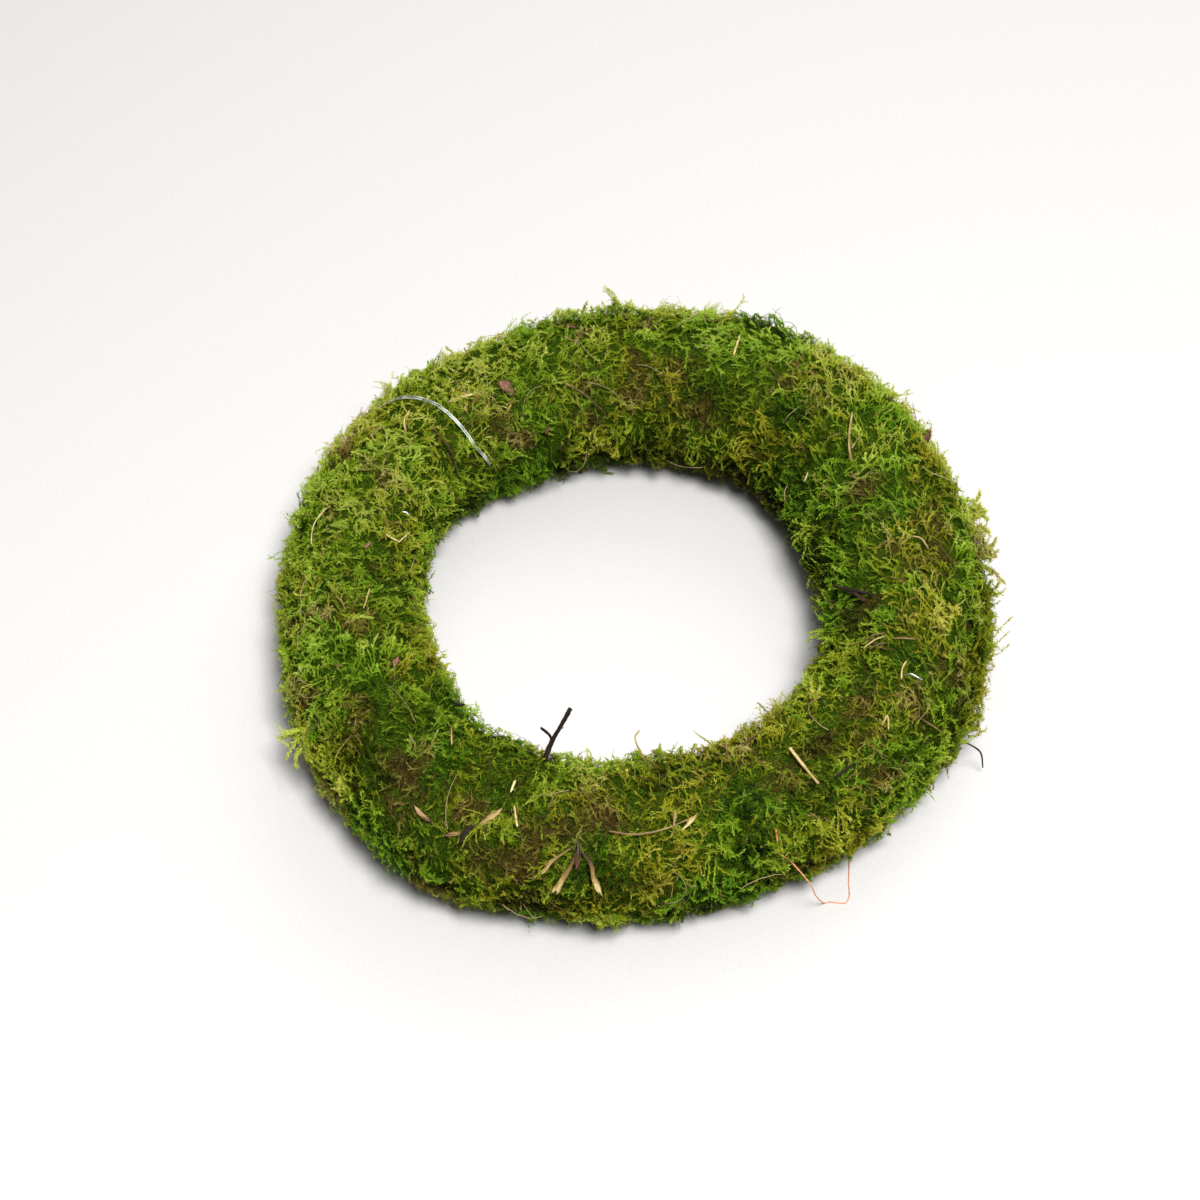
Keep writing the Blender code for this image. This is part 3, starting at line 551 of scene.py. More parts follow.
def moss_leaves():
    """Moss leaves: one cell thick, so that light shines through them, with a faint satin gloss.

    The mesh's growth colours hold each leaf's age, with painted light and shade added to it,
    its share of yellow, and how dry it is.
    """
    made, tree, surface = new_material("moss_leaves")
    growth = add(tree, "VertexColor", layer_name="growth")
    age, yellow, dry = add(tree, "SeparateColor", {0: growth.outputs["Color"]}).outputs[:3]
    green_stops = ((0, "#0B1604"), (0.3, "#335210"), (0.6, "#6B991A"), (0.85, "#98BE30"), (1, "#B4D052"))
    yellow_stops = ((0, "#161704"), (0.3, "#5A5C12"), (0.6, "#A2A020"), (0.85, "#C0BC3C"), (1, "#D2CA64"))
    dry_stops = ((0, "#20150C"), (0.3, "#563F22"), (0.6, "#8C6A40"), (0.85, "#B09060"), (1, "#CEB68C"))
    green, gold, brown = (
        add(tree, "ValToRGB", {0: age}, stops).outputs[0] for stops in (green_stops, yellow_stops, dry_stops)
    )
    fresh = add(tree, "Mix", {0: yellow, 6: green, 7: gold}, data_type="RGBA").outputs[2]
    leaf = add(tree, "Mix", {0: dry, 6: fresh, 7: brown}, data_type="RGBA").outputs[2]
    shader = add(tree, "BsdfPrincipled", {"Base Color": leaf, "Roughness": 0.5, "Specular IOR Level": 0.1})
    glow = add(tree, "BsdfTranslucent", {"Color": leaf})
    both = add(tree, "MixShader", {0: 0.38, 1: shader.outputs[0], 2: glow.outputs[0]})
    tree.links.new(both.outputs[0], surface)
    return made


def root_mat():
    """The mat under the green strands: dead shoots and roots, matt, deep green to dark brown."""
    made, tree, surface = new_material("root_mat")
    where = add(tree, "TexCoord").outputs["Object"]
    growth = add(tree, "VertexColor", layer_name="growth")
    dry = add(tree, "SeparateColor", {0: growth.outputs["Color"]}).outputs[2]
    noise = {"Vector": where, "Scale": 1 / (1.1 * MM), "Detail": 5.0, "Distortion": 2.5}
    shoots = add(tree, "TexNoise", noise).outputs[0]
    green_stops = ((0.35, "#0E1602"), (0.5, "#2A3E0A"), (0.66, "#547016"))
    brown_stops = ((0.35, "#120B03"), (0.5, "#3A2C12"), (0.66, "#6A522C"))
    green = add(tree, "ValToRGB", {0: shoots}, green_stops).outputs[0]
    brown = add(tree, "ValToRGB", {0: shoots}, brown_stops).outputs[0]
    colour = add(tree, "Mix", {0: dry, 6: green, 7: brown}, data_type="RGBA").outputs[2]
    relief = add(tree, "Bump", {"Height": shoots, "Distance": 0.9 * MM}).outputs[0]
    looks = {"Base Color": colour, "Normal": relief, "Roughness": 1.0, "Specular IOR Level": 0.0}
    return coated(made, surface, looks)


def dry_plant(name, stops, fibre, streak, roughness):
    """Dead plant matter: fibres that wide, with streaks that long, in the colours of the stops.

    The mesh's growth colours hold the way along the piece and across it, and the piece's tone there:
    0 for the first of the colours and 1 for the last.
    """
    made, tree, surface = new_material(name)
    growth = add(tree, "VertexColor", layer_name="growth").outputs["Color"]
    tone = add(tree, "SeparateColor", {0: growth}).outputs[2]
    scale = (GROWTH_ALONG / streak, GROWTH_ACROSS / fibre, 0)
    stretched = add(tree, "VectorMath", {0: growth, 1: scale}, operation="MULTIPLY").outputs[0]
    noise = {"Vector": stretched, "Scale": 1.0, "Detail": 4.0, "Roughness": 0.65}
    fibres = add(tree, "TexNoise", noise).outputs[0]
    uneven = add(tree, "MapRange", {0: fibres, 1: 0.25, 2: 0.75, 3: -0.36, 4: 0.36}).outputs[0]
    shade = add(tree, "Math", {0: tone, 1: uneven}, operation="ADD").outputs[0]
    colour = add(tree, "ValToRGB", {0: shade}, stops).outputs[0]
    relief = add(tree, "Bump", {"Height": fibres, "Distance": 0.12 * MM}).outputs[0]
    looks = {"Base Color": colour, "Normal": relief, "Roughness": roughness, "Specular IOR Level": 0.3}
    return coated(made, surface, looks)


def dried_grass():
    """Grass blades and straw, dried to brown at the foot and bleached pale at the tip."""
    stops = ((0, "#22120A"), (0.3, "#4E321C"), (0.6, "#80673A"), (0.8, "#B09A60"), (1, "#DACB98"))
    return dry_plant("dried_grass", stops, 0.45 * MM, 6 * MM, 0.5)


def split_bark():
    """Bark and dead wood, split along the grain: matt, dark where it was outside, tan where it broke."""
    stops = ((0, "#0E0906"), (0.3, "#2C1E10"), (0.6, "#5C4628"), (0.8, "#94784A"), (1, "#C0A470"))
    return dry_plant("split_bark", stops, 0.45 * MM, 4 * MM, 0.85)


def dead_leaf():
    """Scraps of dead leaf: thin, reddish brown, with fine veins."""
    stops = ((0, "#1A0E0A"), (0.35, "#44281A"), (0.65, "#6E4836"), (0.85, "#926A52"), (1, "#B09078"))
    return dry_plant("dead_leaf", stops, 0.6 * MM, 3 * MM, 0.6)


def bound_straw():
    """Straw stalks laid round a ring: glossy pale tubes with darker ones between."""
    made, tree, surface = new_material("bound_straw")
    x, y, z = add(tree, "SeparateXYZ", {0: add(tree, "TexCoord").outputs["Object"]}).outputs
    angle = add(tree, "Math", {0: y, 1: x}, operation="ARCTAN2").outputs[0]
    out = add(tree, "VectorMath", {0: add(tree, "CombineXYZ", {0: x, 1: y}).outputs[0]}, operation="LENGTH")
    place = add(tree, "CombineXYZ", {0: angle, 1: out.outputs["Value"], 2: z}).outputs[0]
    scale = (RING_R / (60 * MM), 1 / (3 * MM), 1 / (3 * MM))
    stretched = add(tree, "VectorMath", {0: place, 1: scale}, operation="MULTIPLY").outputs[0]
    stalks = add(tree, "TexNoise", {"Vector": stretched, "Scale": 1.0, "Detail": 3.0}).outputs[0]
    stops = ((0.3, "#6E5628"), (0.5, "#B4954E"), (0.7, "#DCC27E"))
    colour = add(tree, "ValToRGB", {0: stalks}, stops).outputs[0]
    relief = add(tree, "Bump", {"Height": stalks, "Distance": 1.0 * MM}).outputs[0]
    return coated(made, surface, {"Base Color": colour, "Normal": relief, "Roughness": 0.45})


def clear_nylon():
    """Drawn nylon: clear and glossy, with milky patches as painted highlights, so it shows as a bright line.
    """
    made, tree, surface = new_material("clear_nylon")
    # Painted highlight: where the noise is high, the thread is drawn white and less clear.
    painted_glint, colour = noise_over(tree, 8 * MM, 2.0, ((0.35, "#C8D4C0"), (0.6, "#FAFCF8")))
    clear = add(tree, "MapRange", {0: painted_glint, 1: 0.4, 2: 0.6, 3: 0.8, 4: 0.1}).outputs[0]
    looks = {"Base Color": colour, "Roughness": 0.14, "IOR": 1.53, "Transmission Weight": clear}
    return coated(made, surface, looks)


def orange_yarn():
    """Thin spun thread, dyed orange: matt, with fibres that catch the light unevenly."""
    made, tree, surface = new_material("orange_yarn")
    _, colour = noise_over(tree, 1.2 * MM, 3.0, ((0.3, "#CE6236"), (0.7, "#F6AC84")))
    return coated(made, surface, {"Base Color": colour, "Roughness": 0.8})


def pale_table():
    """The table: a sheet of matt, nearly white card, with a very faint grain."""
    made, tree, surface = new_material("pale_table")
    _, colour = noise_over(tree, 1.5 * MM, 2.0, ((0.3, "#C8C6C4"), (0.7, "#CCCAC8")))
    return coated(made, surface, {"Base Color": colour, "Roughness": 0.7})


def mesh_object(name, corners, triangles, growth, material):
    """A smooth mesh of triangles as an object. growth are the colours of its corners."""
    mesh = bpy.data.meshes.new(name)
    mesh.vertices.add(len(corners))
    mesh.vertices.foreach_set("co", np.ascontiguousarray(corners, dtype=np.float32).ravel())
    mesh.loops.add(triangles.size)
    mesh.loops.foreach_set("vertex_index", triangles.ravel().astype(np.int32))
    mesh.polygons.add(len(triangles))
    mesh.polygons.foreach_set("loop_start", np.arange(0, triangles.size, 3, dtype=np.int32))
    mesh.polygons.foreach_set("use_smooth", np.ones(len(triangles), dtype=bool))
    colours = np.column_stack([np.clip(growth, 0, 1), np.ones(len(growth))])
    layer = mesh.color_attributes.new("growth", "FLOAT_COLOR", "POINT")
    layer.data.foreach_set("color", colours.astype(np.float32).ravel())
    mesh.update(calc_edges=True)
    mesh.materials.append(material)
    made = bpy.data.objects.new(name, mesh)
    bpy.context.scene.collection.objects.link(made)
    return made


def add_leaf_map(mesh):
    """Gives each pair of triangles its own square of the texture map, so that leaves stay apart."""
    count = len(mesh.polygons)
    across = math.ceil(math.sqrt(math.ceil(count / 2)))
    number = np.arange(count)
    square = np.stack([number // 2 % across, number // 2 // across], axis=1)
    near, far = 0.12, 0.80
    lower = np.array(((near, near), (far, near), (near, far)))
    corners = np.where((number % 2 == 0)[:, None, None], lower, 1 - lower)
    layer = mesh.uv_layers.new(name="OFBake", do_init=False)
    layer.uv.foreach_set("vector", ((square[:, None] + corners) / across).astype(np.float32).ravel())


def joined(parts):
    """Several (corners, triangles, growth) as one."""
    first = np.cumsum([0] + [len(corners) for corners, _, _ in parts])
    corners = np.concatenate([part[0] for part in parts])
    triangles = np.concatenate([part[1] + start for part, start in zip(parts, first)])
    return corners, triangles, np.concatenate([part[2] for part in parts])


@dataclass
class Strands:
    """Moss strands, a row for each: places, headings and ages at points along it, and its looks.

    heading is 0 along theta and 90 along phi. age is 0 for a dark old leaf and 1 for a new one.
    """

    theta: np.ndarray
    phi: np.ndarray
    lift: np.ndarray
    heading: np.ndarray
    age: np.ndarray
    size: np.ndarray
    growth: np.ndarray


def grown(theta, phi, heading, bend, length, lifts, ages, points, size, growth):
    """Strands of that many points from those roots, with lifts and ages for their ends.

    lifts is (at the root, at the tip, how late it rises), and ages (at the root, at the tip).
    """
    share = np.linspace(0, 1, points)
    step = np.asarray(length)[:, None] / (points - 1) * (share > 0)
    heading = heading[:, None] + bend[:, None] * share
    way = np.radians(heading)
    reach = skin_radius(theta, phi)[:, None]
    out = moss_middle(theta)[:, None] + reach * np.cos(np.radians(phi))[:, None]
    thetas = theta[:, None] + np.degrees(np.cumsum(np.cos(way) * step, axis=1) / out)
    phis = phi[:, None] + np.degrees(np.cumsum(np.sin(way) * step, axis=1) / reach)
    low, high, late = (np.broadcast_to(value, theta.shape)[:, None] for value in lifts)
    old, young = (np.broadcast_to(value, theta.shape)[:, None] for value in ages)
    lift = low + (high - low) * share**late
    return Strands(thetas, phis, lift, heading, old + (young - old) * share, size, growth)


def reader(row, share, points):
    """A function that reads values given for points along rows, at those shares of the way along."""
    step = (share * (points - 1)).astype(int)
    within = share * (points - 1) - step

    def read(values):
        part = within.reshape(within.shape + (1,) * (values.ndim - 2))
        return values[row, step] * (1 - part) + values[row, step + 1] * part

    return read


def branched(mains, rng):
    """Side branches for the strands, to the left and right in turn, that curve back forwards."""
    count, points = mains.theta.shape
    place = (np.arange(SIDES_PER_MAIN) + rng.random((count, 1))) / SIDES_PER_MAIN
    share = (SIDES_FROM + SIDES_OVER * place).ravel()
    row = np.repeat(np.arange(count), SIDES_PER_MAIN)
    read = reader(row, share, points)
    side = np.where((np.arange(len(row)) + row) % 2 == 0, 1, -1)
    angle = side * (SIDE_ANGLE + rng.normal(0, 12, len(row)))
    length = SIDE_LENGTH * (1 - 0.45 * share) * rng.uniform(0.7, 1.3, len(row))
    bend = -angle * rng.uniform(0.3, 1.0, len(row))
    lift = read(mains.lift)
    lifts = (lift, lift + rng.normal(SIDE_RISE, 0.8 * MM, len(row)), 1.0)
    ages = [read(mains.age) + age for age in SIDE_AGES]
    heading = read(mains.heading) + angle
    size = mains.size[row] * (SIDE_SIZE - 0.15 * share)
    theta, phi = read(mains.theta), read(mains.phi)
    return grown(theta, phi, heading, bend, length, lifts, ages, SIDE_POINTS, size, mains.growth[row])


def core_width(share):
    """How thick a strand's green core is along it, from 1 at its foot to 0 at its tip."""
    return np.minimum(1 - 0.5 * share**2, 2.2 * (1 - share))


def cores(paths, outs, radii, ages, growth, sides):
    """The stems of strands, each to a point, with radii for all but the last point of the paths.

    A stem of two sides is a ribbon that faces out of the moss.
    """
    count, length, _ = paths.shape
    ahead = unit(np.gradient(paths, axis=1))
    aside = unit(np.cross(ahead, outs))
    above = np.cross(aside, ahead)
    angles = 2 * np.pi * np.arange(sides) / sides + (np.pi / 2 if sides > 2 else 0)
    ring = aside[:, :-1, None] * np.cos(angles)[:, None] + above[:, :-1, None] * np.sin(angles)[:, None]
    rings = paths[:, :-1, None] + ring * radii[..., None, None]
    corners = np.concatenate([rings.reshape(count, -1, 3), paths[:, -1:]], axis=1)
    steps = []
    last = (length - 2) * sides
    for side in range(sides if sides > 2 else 1):
        beside = (side + 1) % sides
        for start in range(0, last, sides):
            a, b = start + side, start + beside
            steps += [(a, b, a + sides), (b, b + sides, a + sides)]
        steps.append((last + side, last + beside, last + sides))
    size = corners.shape[1]
    triangles = np.arange(count)[:, None, None] * size + np.array(steps)
    colours = np.empty((count, size, 3))
    colours[:, :-1, 0] = np.repeat(ages[:, :-1], sides, axis=1)
    colours[:, -1, 0] = ages[:, -1]
    colours[..., 1:] = growth[:, None]
    return corners.reshape(-1, 3), triangles.reshape(-1, 3), colours.reshape(-1, 3)


def leaves(paths, outs, ages, sizes, growth, leaf_count, rng):
    """Pointed leaves all along the strands, wide at the foot, that close up towards the tip."""
    count, points, _ = paths.shape
    number = np.arange(leaf_count)
    share = LEAF_FROM + (LEAF_TO - LEAF_FROM) * (number + rng.random((count, leaf_count))) / leaf_count
    read = reader(np.arange(count)[:, None], share, points)
    ahead = read(unit(np.gradient(paths, axis=1)))
    aside = unit(np.cross(ahead, read(outs)))
    above = np.cross(aside, ahead)
    turn = turn_from(0, GOLDEN_ANGLE * number + 360 * rng.random((count, 1)))
    around = np.radians(turn * TURNED_UP)
    out = above * np.cos(around)[..., None] + aside * np.sin(around)[..., None]
    at_foot, at_tip, stray = LEAF_SPREAD
    spread = np.radians(at_foot + (at_tip - at_foot) * share + rng.normal(0, stray, share.shape))[..., None]
    small = 1 - SHRUNK * np.maximum(0, growth[:, 1:] - SHRUNK_FROM)
    reach = LEAF_LENGTH * sizes[:, None] * small * (1.05 - 0.35 * share**2)
    reach = reach * rng.uniform(0.8, 1.25, share.shape)
    half = LEAF_WIDTH / 2 * sizes[:, None] * small * (1.05 - 0.4 * share**2)
    foot = read(paths) + out * (CORE_R * LEAF_FOOT * sizes[:, None] * core_width(share))[..., None]
    width = unit(np.cross(ahead, out)) * half[..., None]
    tip = foot + (ahead * np.cos(spread) + out * np.sin(spread)) * reach[..., None]
    corners = np.stack([foot - width, foot + width, tip], axis=2)
    triangles = np.arange(count * leaf_count * 3).reshape(-1, 3)
    colours = np.empty((count, leaf_count, 3, 3))
    # Painted light and shade: a leaf that faces out of the moss is drawn lighter, one that faces in darker.
    leaf_age_and_shade = read(ages) + 0.03 * np.cos(around) + rng.normal(0, 0.03, share.shape)
    colours[..., 0] = leaf_age_and_shade[..., None] + np.array((-0.04, -0.04, 0.04))
    colours[..., 1] = (growth[:, :1] + rng.normal(0, 0.03, share.shape))[..., None]
    colours[..., 2] = np.broadcast_to(growth[:, 1:], share.shape)[..., None]
    return corners.reshape(-1, 3), triangles, colours.reshape(-1, 3)


def painted_side_shade(theta, phi):
    """Painted light and shade: lighter on top than at the sides, darker in the hole and below."""
    in_hole = np.maximum(0, -np.cos(np.radians(phi))) * (1 + np.sin(np.radians(theta)))
    face_down = np.interp(phi % 360, FACE_DOWN[:2], (0, 1)) * (phi % 360 < FACE_DOWN[2])
    return TOP_PAINTED_LIGHT * (np.sin(np.radians(phi)) - 0.5) - HOLE_PAINTED_SHADE * in_hole - FACE_DOWN_PAINTED_SHADE * face_down


def leafy(strands, leaf_count, clumps, rng):
    """The strands as mesh: each a green core with leaves. The core of a long one has fewer points."""
    theta, phi = strands.theta, strands.phi
    lift = pressed(theta, phi, strands.lift + dome(theta, phi, clumps))
    paths = moss_point(theta, phi, lift)
    outs = outwards(theta, phi)
    # The ages here take in painted light and shade: darker the deeper a strand lies, and by its place on the
    # tube.
    ages = strands.age + np.clip(lift / FULL_AGE_AND_SHADE_LIFT, *AGE_AND_SHADE_BY_LIFT) + painted_side_shade(theta, phi)
    bare = slice(None, None, 2 if paths.shape[1] > 5 else 1)
    share = np.linspace(0, 1, paths.shape[1])[bare]
    radii = CORE_R * strands.size[:, None] * core_width(share[:-1])
    # The cores are drawn darker than their leaves, as painted shade.
    parts = [
        cores(paths[:, bare], outs[:, bare], radii, ages[:, bare] + CORE_PAINTED_SHADE, strands.growth, 2),
        leaves(paths, outs, ages, strands.size, strands.growth, leaf_count, rng),
    ]
    return joined(parts)


@dataclass
class Clumps:
    """Clumps of moss: where they are, how far they turn from their handful's lay, and their looks."""

    theta: np.ndarray
    phi: np.ndarray
    stray: np.ndarray
    height: np.ndarray
    yellow: np.ndarray
    dry: np.ndarray
    size: np.ndarray
    age: np.ndarray

    def near(self, theta):
        """The clumps within a handful's reach of theta."""
        chosen = np.abs(turn_from(theta, self.theta)) < PAD_SPAN
        return Clumps(*(getattr(self, name)[chosen] for name in self.__dataclass_fields__))


def spread_evenly(count, rng):
    """Places spread evenly over the whole of the moss."""
    number = np.arange(count * 2)
    theta = 360 * ((0.5 + number * EVEN_STEPS[0]) % 1)
    phi = 360 * ((0.5 + number * EVEN_STEPS[1]) % 1) - 90
    weight = 1 + MOSS_R * np.cos(np.radians(phi)) / RING_R
    kept = np.argsort(rng.random(len(number)) / weight)[:count]
    return theta[kept], phi[kept]


def apart(theta, phi, from_theta, from_phi):
    """How far each place is from each of those, over the moss: a row for each place."""
    along = np.radians(turn_from(from_theta, theta[..., None])) * RING_R
    around = np.radians(turn_from(from_phi, phi[..., None])) * MOSS_R
    return np.hypot(along, around)


def in_patch(clumps, patches):
    """Whether each clump lies in one of the patches."""
    theta, phi, radius = np.array(patches, dtype=float).T
    return (apart(clumps.theta, clumps.phi, theta, phi) < radius * MM).any(axis=1)


def scatter_clumps(rng):
    """The clumps of the whole wreath, coloured by their beds and by the patches in the photograph."""
    theta, phi = spread_evenly(CLUMPS, rng)
    theta, phi = theta + rng.normal(0, 1.0, CLUMPS), phi + rng.normal(0, 3.5, CLUMPS)
    bed_theta, bed_phi = spread_evenly(BEDS, rng)
    bed = np.argmin(apart(theta, phi, bed_theta, bed_phi), axis=1)
    dry_share = np.where(rng.random(BEDS) < DRY_BEDS, *DRY_CLUMPS)[bed]
    clumps = Clumps(
        theta,
        phi,
        stray=rng.normal(0, BED_STRAY, BEDS)[bed] + rng.normal(0, CLUMP_STRAY, CLUMPS),
        height=rng.normal(0, CLUMP_HEIGHT, CLUMPS),
        yellow=np.clip(rng.normal(*BED_YELLOW, BEDS)[bed] + rng.normal(0, CLUMP_YELLOW, CLUMPS), 0, 1),
        dry=np.where(rng.random(CLUMPS) < dry_share, rng.uniform(*CLUMP_DRY, CLUMPS), FRESH_DRY),
        size=rng.uniform(*CLUMP_SIZE, CLUMPS),
        age=rng.normal(0, BED_AGE, BEDS)[bed] + rng.normal(0, CLUMP_AGE, CLUMPS) + waves(theta, *AGE_WAVES),
    )
    places, yellow, age, height = zip(*FRESH_PATCHES)
    fresh = [in_patch(clumps, patches) for patches in places]
    dry = np.where(in_patch(clumps, DRY_PATCHES), PATCH_DRY, clumps.dry)
    clumps.dry = np.where(np.any(fresh, axis=0), 0, dry)
    clumps.yellow = np.select(fresh, yellow, clumps.yellow)
    clumps.age += np.select(fresh, age, 0)
    clumps.height += np.select(fresh, height, 0)
    clumps.size = np.where(fresh[0], LIME_SIZE, clumps.size)
    return clumps


def nearest_clump(theta, phi, clumps):
    """The nearest clump to each place, and how far off its middle is."""
    far = apart(theta, phi, clumps.theta, clumps.phi)
    nearest = np.argmin(far, axis=-1)
    return nearest, np.take_along_axis(far, nearest[..., None], -1)[..., 0]


def swell(theta, phi):
    """How much fuller the moss is at each place than the ring has it."""
    swell_theta, swell_phi, radius, lift = np.array(SWELLS, dtype=float).T
    away = apart(theta, phi, swell_theta, swell_phi) / (radius * MM)
    return (lift * MM * np.maximum(0, 1 - away**2) ** 2).sum(axis=-1)


def dome(theta, phi, clumps):
    """How much the moss is raised in the middle of each clump and lowered between them."""
    nearest, off_middle = nearest_clump(theta, phi, clumps)
    middle = np.maximum(0, 1 - (off_middle / CLUMP_R) ** 2)
    return (CLUMP_DOME + clumps.height[nearest]) * middle - CLUMP_DOME / 2 + swell(theta, phi)


def thread_theta(phi_total):
    """Where the thread is round the ring once it has turned phi_total degrees round the tube."""
    turned = phi_total / 360
    first = THREAD_START - SPARE_STEP * turned - TURN_STEP * np.minimum(turned, 1 - turned)
    theta = np.where(turned <= 1, first, THREAD_START - SPARE_STEP - TURN_STEP * (turned - 1))
    sway = LOOP_SWAY * np.interp(phi_total % 360, SWAY_PHI, (0, 1, 0))
    return theta + np.where(phi_total < SWAY_TO, sway, 0)


def loop_theta(phi):
    """Where the middle of the thread's two turns that show is round the ring, at phi."""
    return (thread_theta(phi % 360) + thread_theta(phi % 360 + 360)) / 2


def litter_spots():
    """Places along the litter that has nodes, but for its ends, as (theta, phi, lift)."""
    steps = [np.array(row[-1], dtype=float) for row in FLAT_LITTER + STEM_LITTER]
    return np.concatenate([np.concatenate([step[1:-1], (step[1:] + step[:-1]) / 2]) for step in steps]).T


def pressed(theta, phi, lift):
    """The lifts, with the moss lower under the litter and beside the two turns of thread that show."""
    spot_theta, spot_phi, spot_lift = litter_spots()
    away = np.maximum(0, apart(theta, phi, spot_theta, spot_phi) - LITTER_ROOM)
    lift = np.minimum(lift, (spot_lift * MM - LITTER_BED + away * LITTER_SLOPE).min(axis=-1))
    shows = (phi % 360 > THREAD_SHOWS[0]) & (phi % 360 < THREAD_SHOWS[1])
    beside = np.abs(turn_from(loop_theta(phi), theta))
    room = np.where(shows, np.maximum(0, beside - PRESSED_HALF_WIDTH), 180)
    return np.minimum(lift, PRESSED_LIFT + room * PRESSED_SLOPE)


def pad_places(pad, count, rng):
    """Roots for that many strands, spread evenly over one handful of moss, fewer underneath."""
    number = np.arange(count * 3)
    start = rng.random(2)
    along = (start[0] + number * EVEN_STEPS[0]) % 1
    phi = ((start[1] + number * EVEN_STEPS[1]) % 1) * 360 - 90
    theta = (pad - 0.5 + along) * PAD_SPAN + SEAM_SLANT * np.sin(np.radians(phi))
    wanted = np.interp(phi, *UNDERNEATH)
    wanted *= 1 + skin_radius(theta, phi) * np.cos(np.radians(phi)) / moss_middle(theta)
    order = np.argsort(rng.random(len(number)) / wanted)[:count]
    return theta[order], phi[order]


def looks_at(theta, phi, clumps, rng):
    """The nearest clump to each place, and the size and growth colours of a strand that grows there."""
    nearest, _ = nearest_clump(theta, phi, clumps)
    count = len(nearest)
    yellow = clumps.yellow[nearest] + rng.normal(0, 0.07, count)
    dry = clumps.dry[nearest] * rng.uniform(0.6, 1.15, count)
    dry = np.where(rng.random(count) < DEAD_STRANDS, DEAD_DRY, dry)
    size = clumps.size[nearest] * rng.uniform(0.85, 1.15, count)
    return nearest, size, np.stack([yellow, dry], axis=1)


def main_strands(pad, clumps, rng):
    """The long strands of one handful, each laid the way its clump lies."""
    theta, phi = pad_places(pad, MAINS_PER_PAD, rng)
    nearest, size, growth = looks_at(theta, phi, clumps, rng)
    count = len(theta)
    heading = PAD_LAY[pad] + clumps.stray[nearest] + rng.normal(0, MAIN_STRAY, count)
    bend = rng.normal(0, MAIN_BEND, count)
    shortest, usual, longest = MAIN_LENGTH
    length = np.clip(usual * np.exp(rng.normal(0, 0.28, count)), shortest, longest)
    lowest, usual, highest = MAIN_RISE
    rise = np.clip(rng.normal(usual, 1.1 * MM, count), lowest, highest)
    lifts = (ROOT_LIFT, rise, rng.uniform(0.4, 0.9, count))
    ages = [age + clumps.age[nearest] for age in MAIN_AGES]
    return grown(theta, phi, heading, bend, length, lifts, ages, MAIN_POINTS, size, growth)


def loose_tips(pad, clumps, rng):
    """Short strands that point every way and out of the moss, a few of them well clear of it."""
    theta, phi = pad_places(pad, TIPS_PER_PAD, rng)
    nearest, size, growth = looks_at(theta, phi, clumps, rng)
    count = len(theta)
    tall = rng.random(count) < TALL_TIPS
    rise = np.where(tall, rng.uniform(*TALL_TIP_RISE, count), rng.uniform(*TIP_RISE, count))
    heading = PAD_LAY[pad] + rng.normal(0, TIP_STRAY, count)
    bend = rng.normal(0, TIP_BEND, count)
    length = rng.uniform(*TIP_LENGTH, count)
    lifts = (TIP_ROOT_LIFT, rise, rng.uniform(0.45, 0.9, count))
    ages = [age + clumps.age[nearest] for age in TIP_AGES]
    return grown(theta, phi, heading, bend, length, lifts, ages, TIP_POINTS, size * TIP_SIZE, growth)


def scattered(theta, phi, spread, rng):
    """Those places, each moved a little over the moss."""
    theta = theta + np.degrees(rng.normal(0, spread, len(theta)) / RING_R)
    return theta, phi + np.degrees(rng.normal(0, spread, len(phi)) / MOSS_R)


def tall_sprigs(pad, rng):
    """The sprigs of one handful that stand out in the photograph."""
    chosen = [row for row in SPRIGS if round(row[0] / PAD_SPAN) % PADS == pad]
    rows = np.array([row for row in chosen for _ in range(row[2])], dtype=float).reshape(-1, len(SPRIGS[0]))
    theta, phi, shoots, heading, bend, length, high, size, yellow, dry, young = rows.T
    theta, phi = scattered(theta, phi, SPRIG_SPREAD * (shoots > 1), rng)
    heading = heading + rng.normal(0, 15, len(rows))
    bend = bend + rng.normal(0, 40, len(rows))
    length = length * MM * rng.uniform(0.85, 1.15, len(rows))
    lifts, ages = (ROOT_LIFT, high * MM, 0.8), (young - SPRIG_AGING, young)
    growth = np.stack([yellow, dry], axis=1)
    return grown(theta, phi, heading, bend, length, lifts, ages, SPRIG_POINTS, size, growth)


def tufts(pad, clumps, rng):
    """The tufts of one handful, each of strands that lean together and curl over at their tips."""
    middle = (pad + rng.uniform(-0.5, 0.5, TUFTS_PER_PAD)) * PAD_SPAN
    outside = rng.uniform(*TUFT_OUTSIDE, TUFTS_PER_PAD)
    inside = rng.uniform(*TUFT_INSIDE, TUFTS_PER_PAD)
    around = np.where(np.arange(TUFTS_PER_PAD) % 3 < 2, outside, inside)
    lean = rng.uniform(0, 360, TUFTS_PER_PAD)
    curl = rng.normal(0, TUFT_CURL, TUFTS_PER_PAD)
    tall = rng.uniform(*TUFT_HEIGHT, TUFTS_PER_PAD)
    middle, around, lean, curl, tall = (
        value.repeat(TUFT_STRANDS) for value in (middle, around, lean, curl, tall)
    )
    theta, phi = scattered(middle, around, TUFT_SPREAD, rng)
    nearest, size, growth = looks_at(theta, phi, clumps, rng)
    count = len(theta)
    heading = lean + rng.normal(0, 40, count)
    bend = curl + rng.normal(0, 60, count)
    length = tall * rng.uniform(1.1, 1.6, count)
    lifts = (ROOT_LIFT, tall * rng.uniform(0.3, 1.0, count), rng.uniform(0.45, 0.75, count))
    ages = [age + clumps.age[nearest] for age in TUFT_AGES]
    return grown(theta, phi, heading, bend, length, lifts, ages, MAIN_POINTS, size * TUFT_SIZE, growth)


